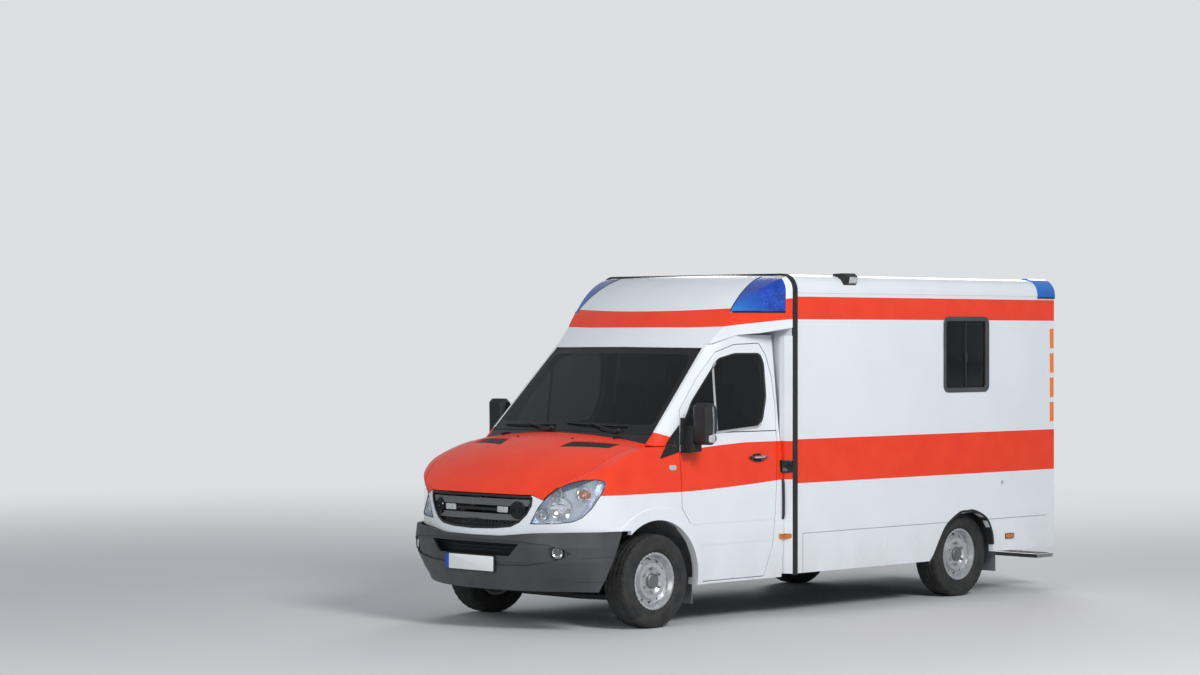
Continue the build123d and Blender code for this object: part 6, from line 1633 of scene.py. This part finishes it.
def placed(parts, origin, pitch):
    """The parts turned about the axis across the vehicle by pitch, then moved to their origin."""
    turn = np.array([[math.cos(pitch), 0, -math.sin(pitch)], [0, 1, 0], [math.sin(pitch), 0, math.cos(pitch)]])
    return [(np.asarray(points).reshape(-1, 3) @ turn.T + np.asarray(origin), faces) for points, faces in parts]


def blown_up(cushion, voxel):
    """Remeshes a pad evenly, lets the cloth solver inflate it, and caps how far each point has moved."""
    scene = bpy.context.scene
    remesh = cushion.modifiers.new("even_mesh", "REMESH")
    remesh.mode, remesh.voxel_size = "VOXEL", voxel
    bake_down(cushion)
    start = places_of(cushion.data)
    cloth_solver = cushion.modifiers.new("inflate", "CLOTH")
    cloth_solver.settings.use_pressure = True
    cloth_solver.settings.uniform_pressure_force = 4.0
    cloth_solver.settings.effector_weights.gravity = 0.0
    for frame_number in range(1, 21):
        scene.frame_set(frame_number)
    bake_down(cushion)
    scene.frame_set(1)
    move = places_of(cushion.data) - start
    length = np.linalg.norm(move, axis=1, keepdims=True)
    capped = start + move * np.minimum(1.0, FURTHEST_BULGE / np.maximum(length, 1e-9))
    cushion.data.vertices.foreach_set("co", capped.ravel())
    cushion.data.update()
    cushion.data.polygons.foreach_set("use_smooth", np.ones(len(cushion.data.polygons), bool))
    return cushion


def bake_down(thing):
    """Replaces an object's mesh by what its modifiers make of it, and clears the modifiers."""
    made = bpy.data.meshes.new_from_object(thing.evaluated_get(bpy.context.evaluated_depsgraph_get()))
    thing.modifiers.clear()
    thing.data = made


# %% [markdown]
# Each place has a base cushion, a back cushion and a headrest: one set for the driver, two for the bench.
# They stand in the space that the solid seats hold, and take their place. The photograph shows no more of
# them than dark forms behind the glass, so they are plain padded cloth.

# %% Cab seats
cushions = []
for seat_name, middle, width in SEATS:
    places = (0.0,) if seat_name == "driver" else (0.185, -0.185)
    each = width if seat_name == "driver" else width / 2
    for index, step in enumerate(places):
        label = seat_name if len(places) == 1 else f"{seat_name}_{'near' if index == 0 else 'far'}"
        y = middle + step
        base = placed(pillow(SEAT_DEEP / 2, each / 2 - 0.010, 0.044, 0.012), (ahead(-0.935), y, 0.948), -0.035)
        back = placed(pillow(BACK_LONG / 2, each / 2 - 0.014, 0.038, 0.016), (ahead(-1.235), y, 1.295),
                      math.pi / 2 + BACK_LEAN)
        rest = placed(pillow(0.092, 0.125, 0.034, 0.010, 4.0, (16, 16)), (ahead(-1.303), y, 1.690),
                      math.pi / 2 + 0.06)
        for part_name, parts in (("base", base), ("back", back), ("headrest", rest)):
            cushion = piece(f"seat_{part_name}_{label}", parts, cloth, "body", smooth_below=60)
            cushions.append(blown_up(cushion, REST_VOXEL if part_name == "headrest" else PAD_VOXEL))
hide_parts("cab_seats")
for cushion in cushions:
    cushion.data.materials.clear()
    cushion.data.materials.append(cloth)
print(len(cushions), "padded pieces")

# %% [markdown]
# Under the cushions a moulded plinth runs across the cab, as the solid one does, and each headrest stands on
# two bright posts.

# %% Seat plinth and headrest posts
plinth = rectangle((ahead(-1.185), -0.745), (ahead(-0.775), 0.745), 0.020)
piece("seat_plinth", [plate(plinth, on_top(0.641), 0.258, 0.006)], black_plastic, "body")
posts = []
for y in (0.420, -0.235, -0.605):
    for step in (-0.055, 0.055):
        line = np.array([(ahead(-1.301), y + step, 1.585), (ahead(-1.303), y + step, 1.635)])
        posts.append(sweep(line, circle(0.0065, 12), up=(0, 1, 0)))
piece("headrest_posts", posts, bright_metal, "body")
print("seats have their plinth and", len(posts), "posts")

# %% [markdown]
# The dashboard carries two dials, a centre screen, four round air vents and a radio set, all plain and
# blank. They are turned rings and thin plates, set on the dashboard's rear face where it can be seen.

# %% Dashboard details
DIALS_Y, VENTS_Y = (0.350, 0.490), (-0.700, -0.140, 0.140, 0.700)
dial = [(0.0, 0.0), (0.0, 0.052), (0.006, 0.056), (0.012, 0.056), (0.012, 0.051), (0.004, 0.048), (0.003, 0.0)]
dials = [lathe(dial, (ahead(-0.408), y, 1.262), (-0.94, 0, 0.34), 36) for y in DIALS_Y]
piece("dials", dials, gloss_black, "body")
vents = []
for y in VENTS_Y:
    for radius in (0.040, 0.028, 0.016):
        ring = [(0.0, radius - 0.005), (0.010, radius - 0.004), (0.010, radius), (0.0, radius + 0.001)]
        vents.append(lathe(ring, (ahead(-0.399), y, 1.180), (-1, 0, 0.05), 32, closed=True))
piece("dash_vents", vents, black_plastic, "body")
screen_edge = rectangle((-0.085, 1.020), (0.085, 1.125), 0.008, 4)
radio_edge = rectangle((-0.080, 0.965), (0.080, 1.008), 0.006, 4)
piece("radio_sets", [plate(screen_edge, on_back(ahead(-0.4065)), 0.012, 0.002),
                     plate(radio_edge, on_back(ahead(-0.430)), 0.012, 0.002)], gloss_black, "body")
print("dashboard has", len(dials), "dials and", len(VENTS_Y), "vents")

# %% [markdown]
# The dressed vehicle has to keep to the solids' box, because the solids say how big it is. Both boxes are
# written down.

# %% Sizes and finish
low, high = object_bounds()
print("dressed model reaches from", [round(v, 3) for v in low], "to", [round(v, 3) for v in high])
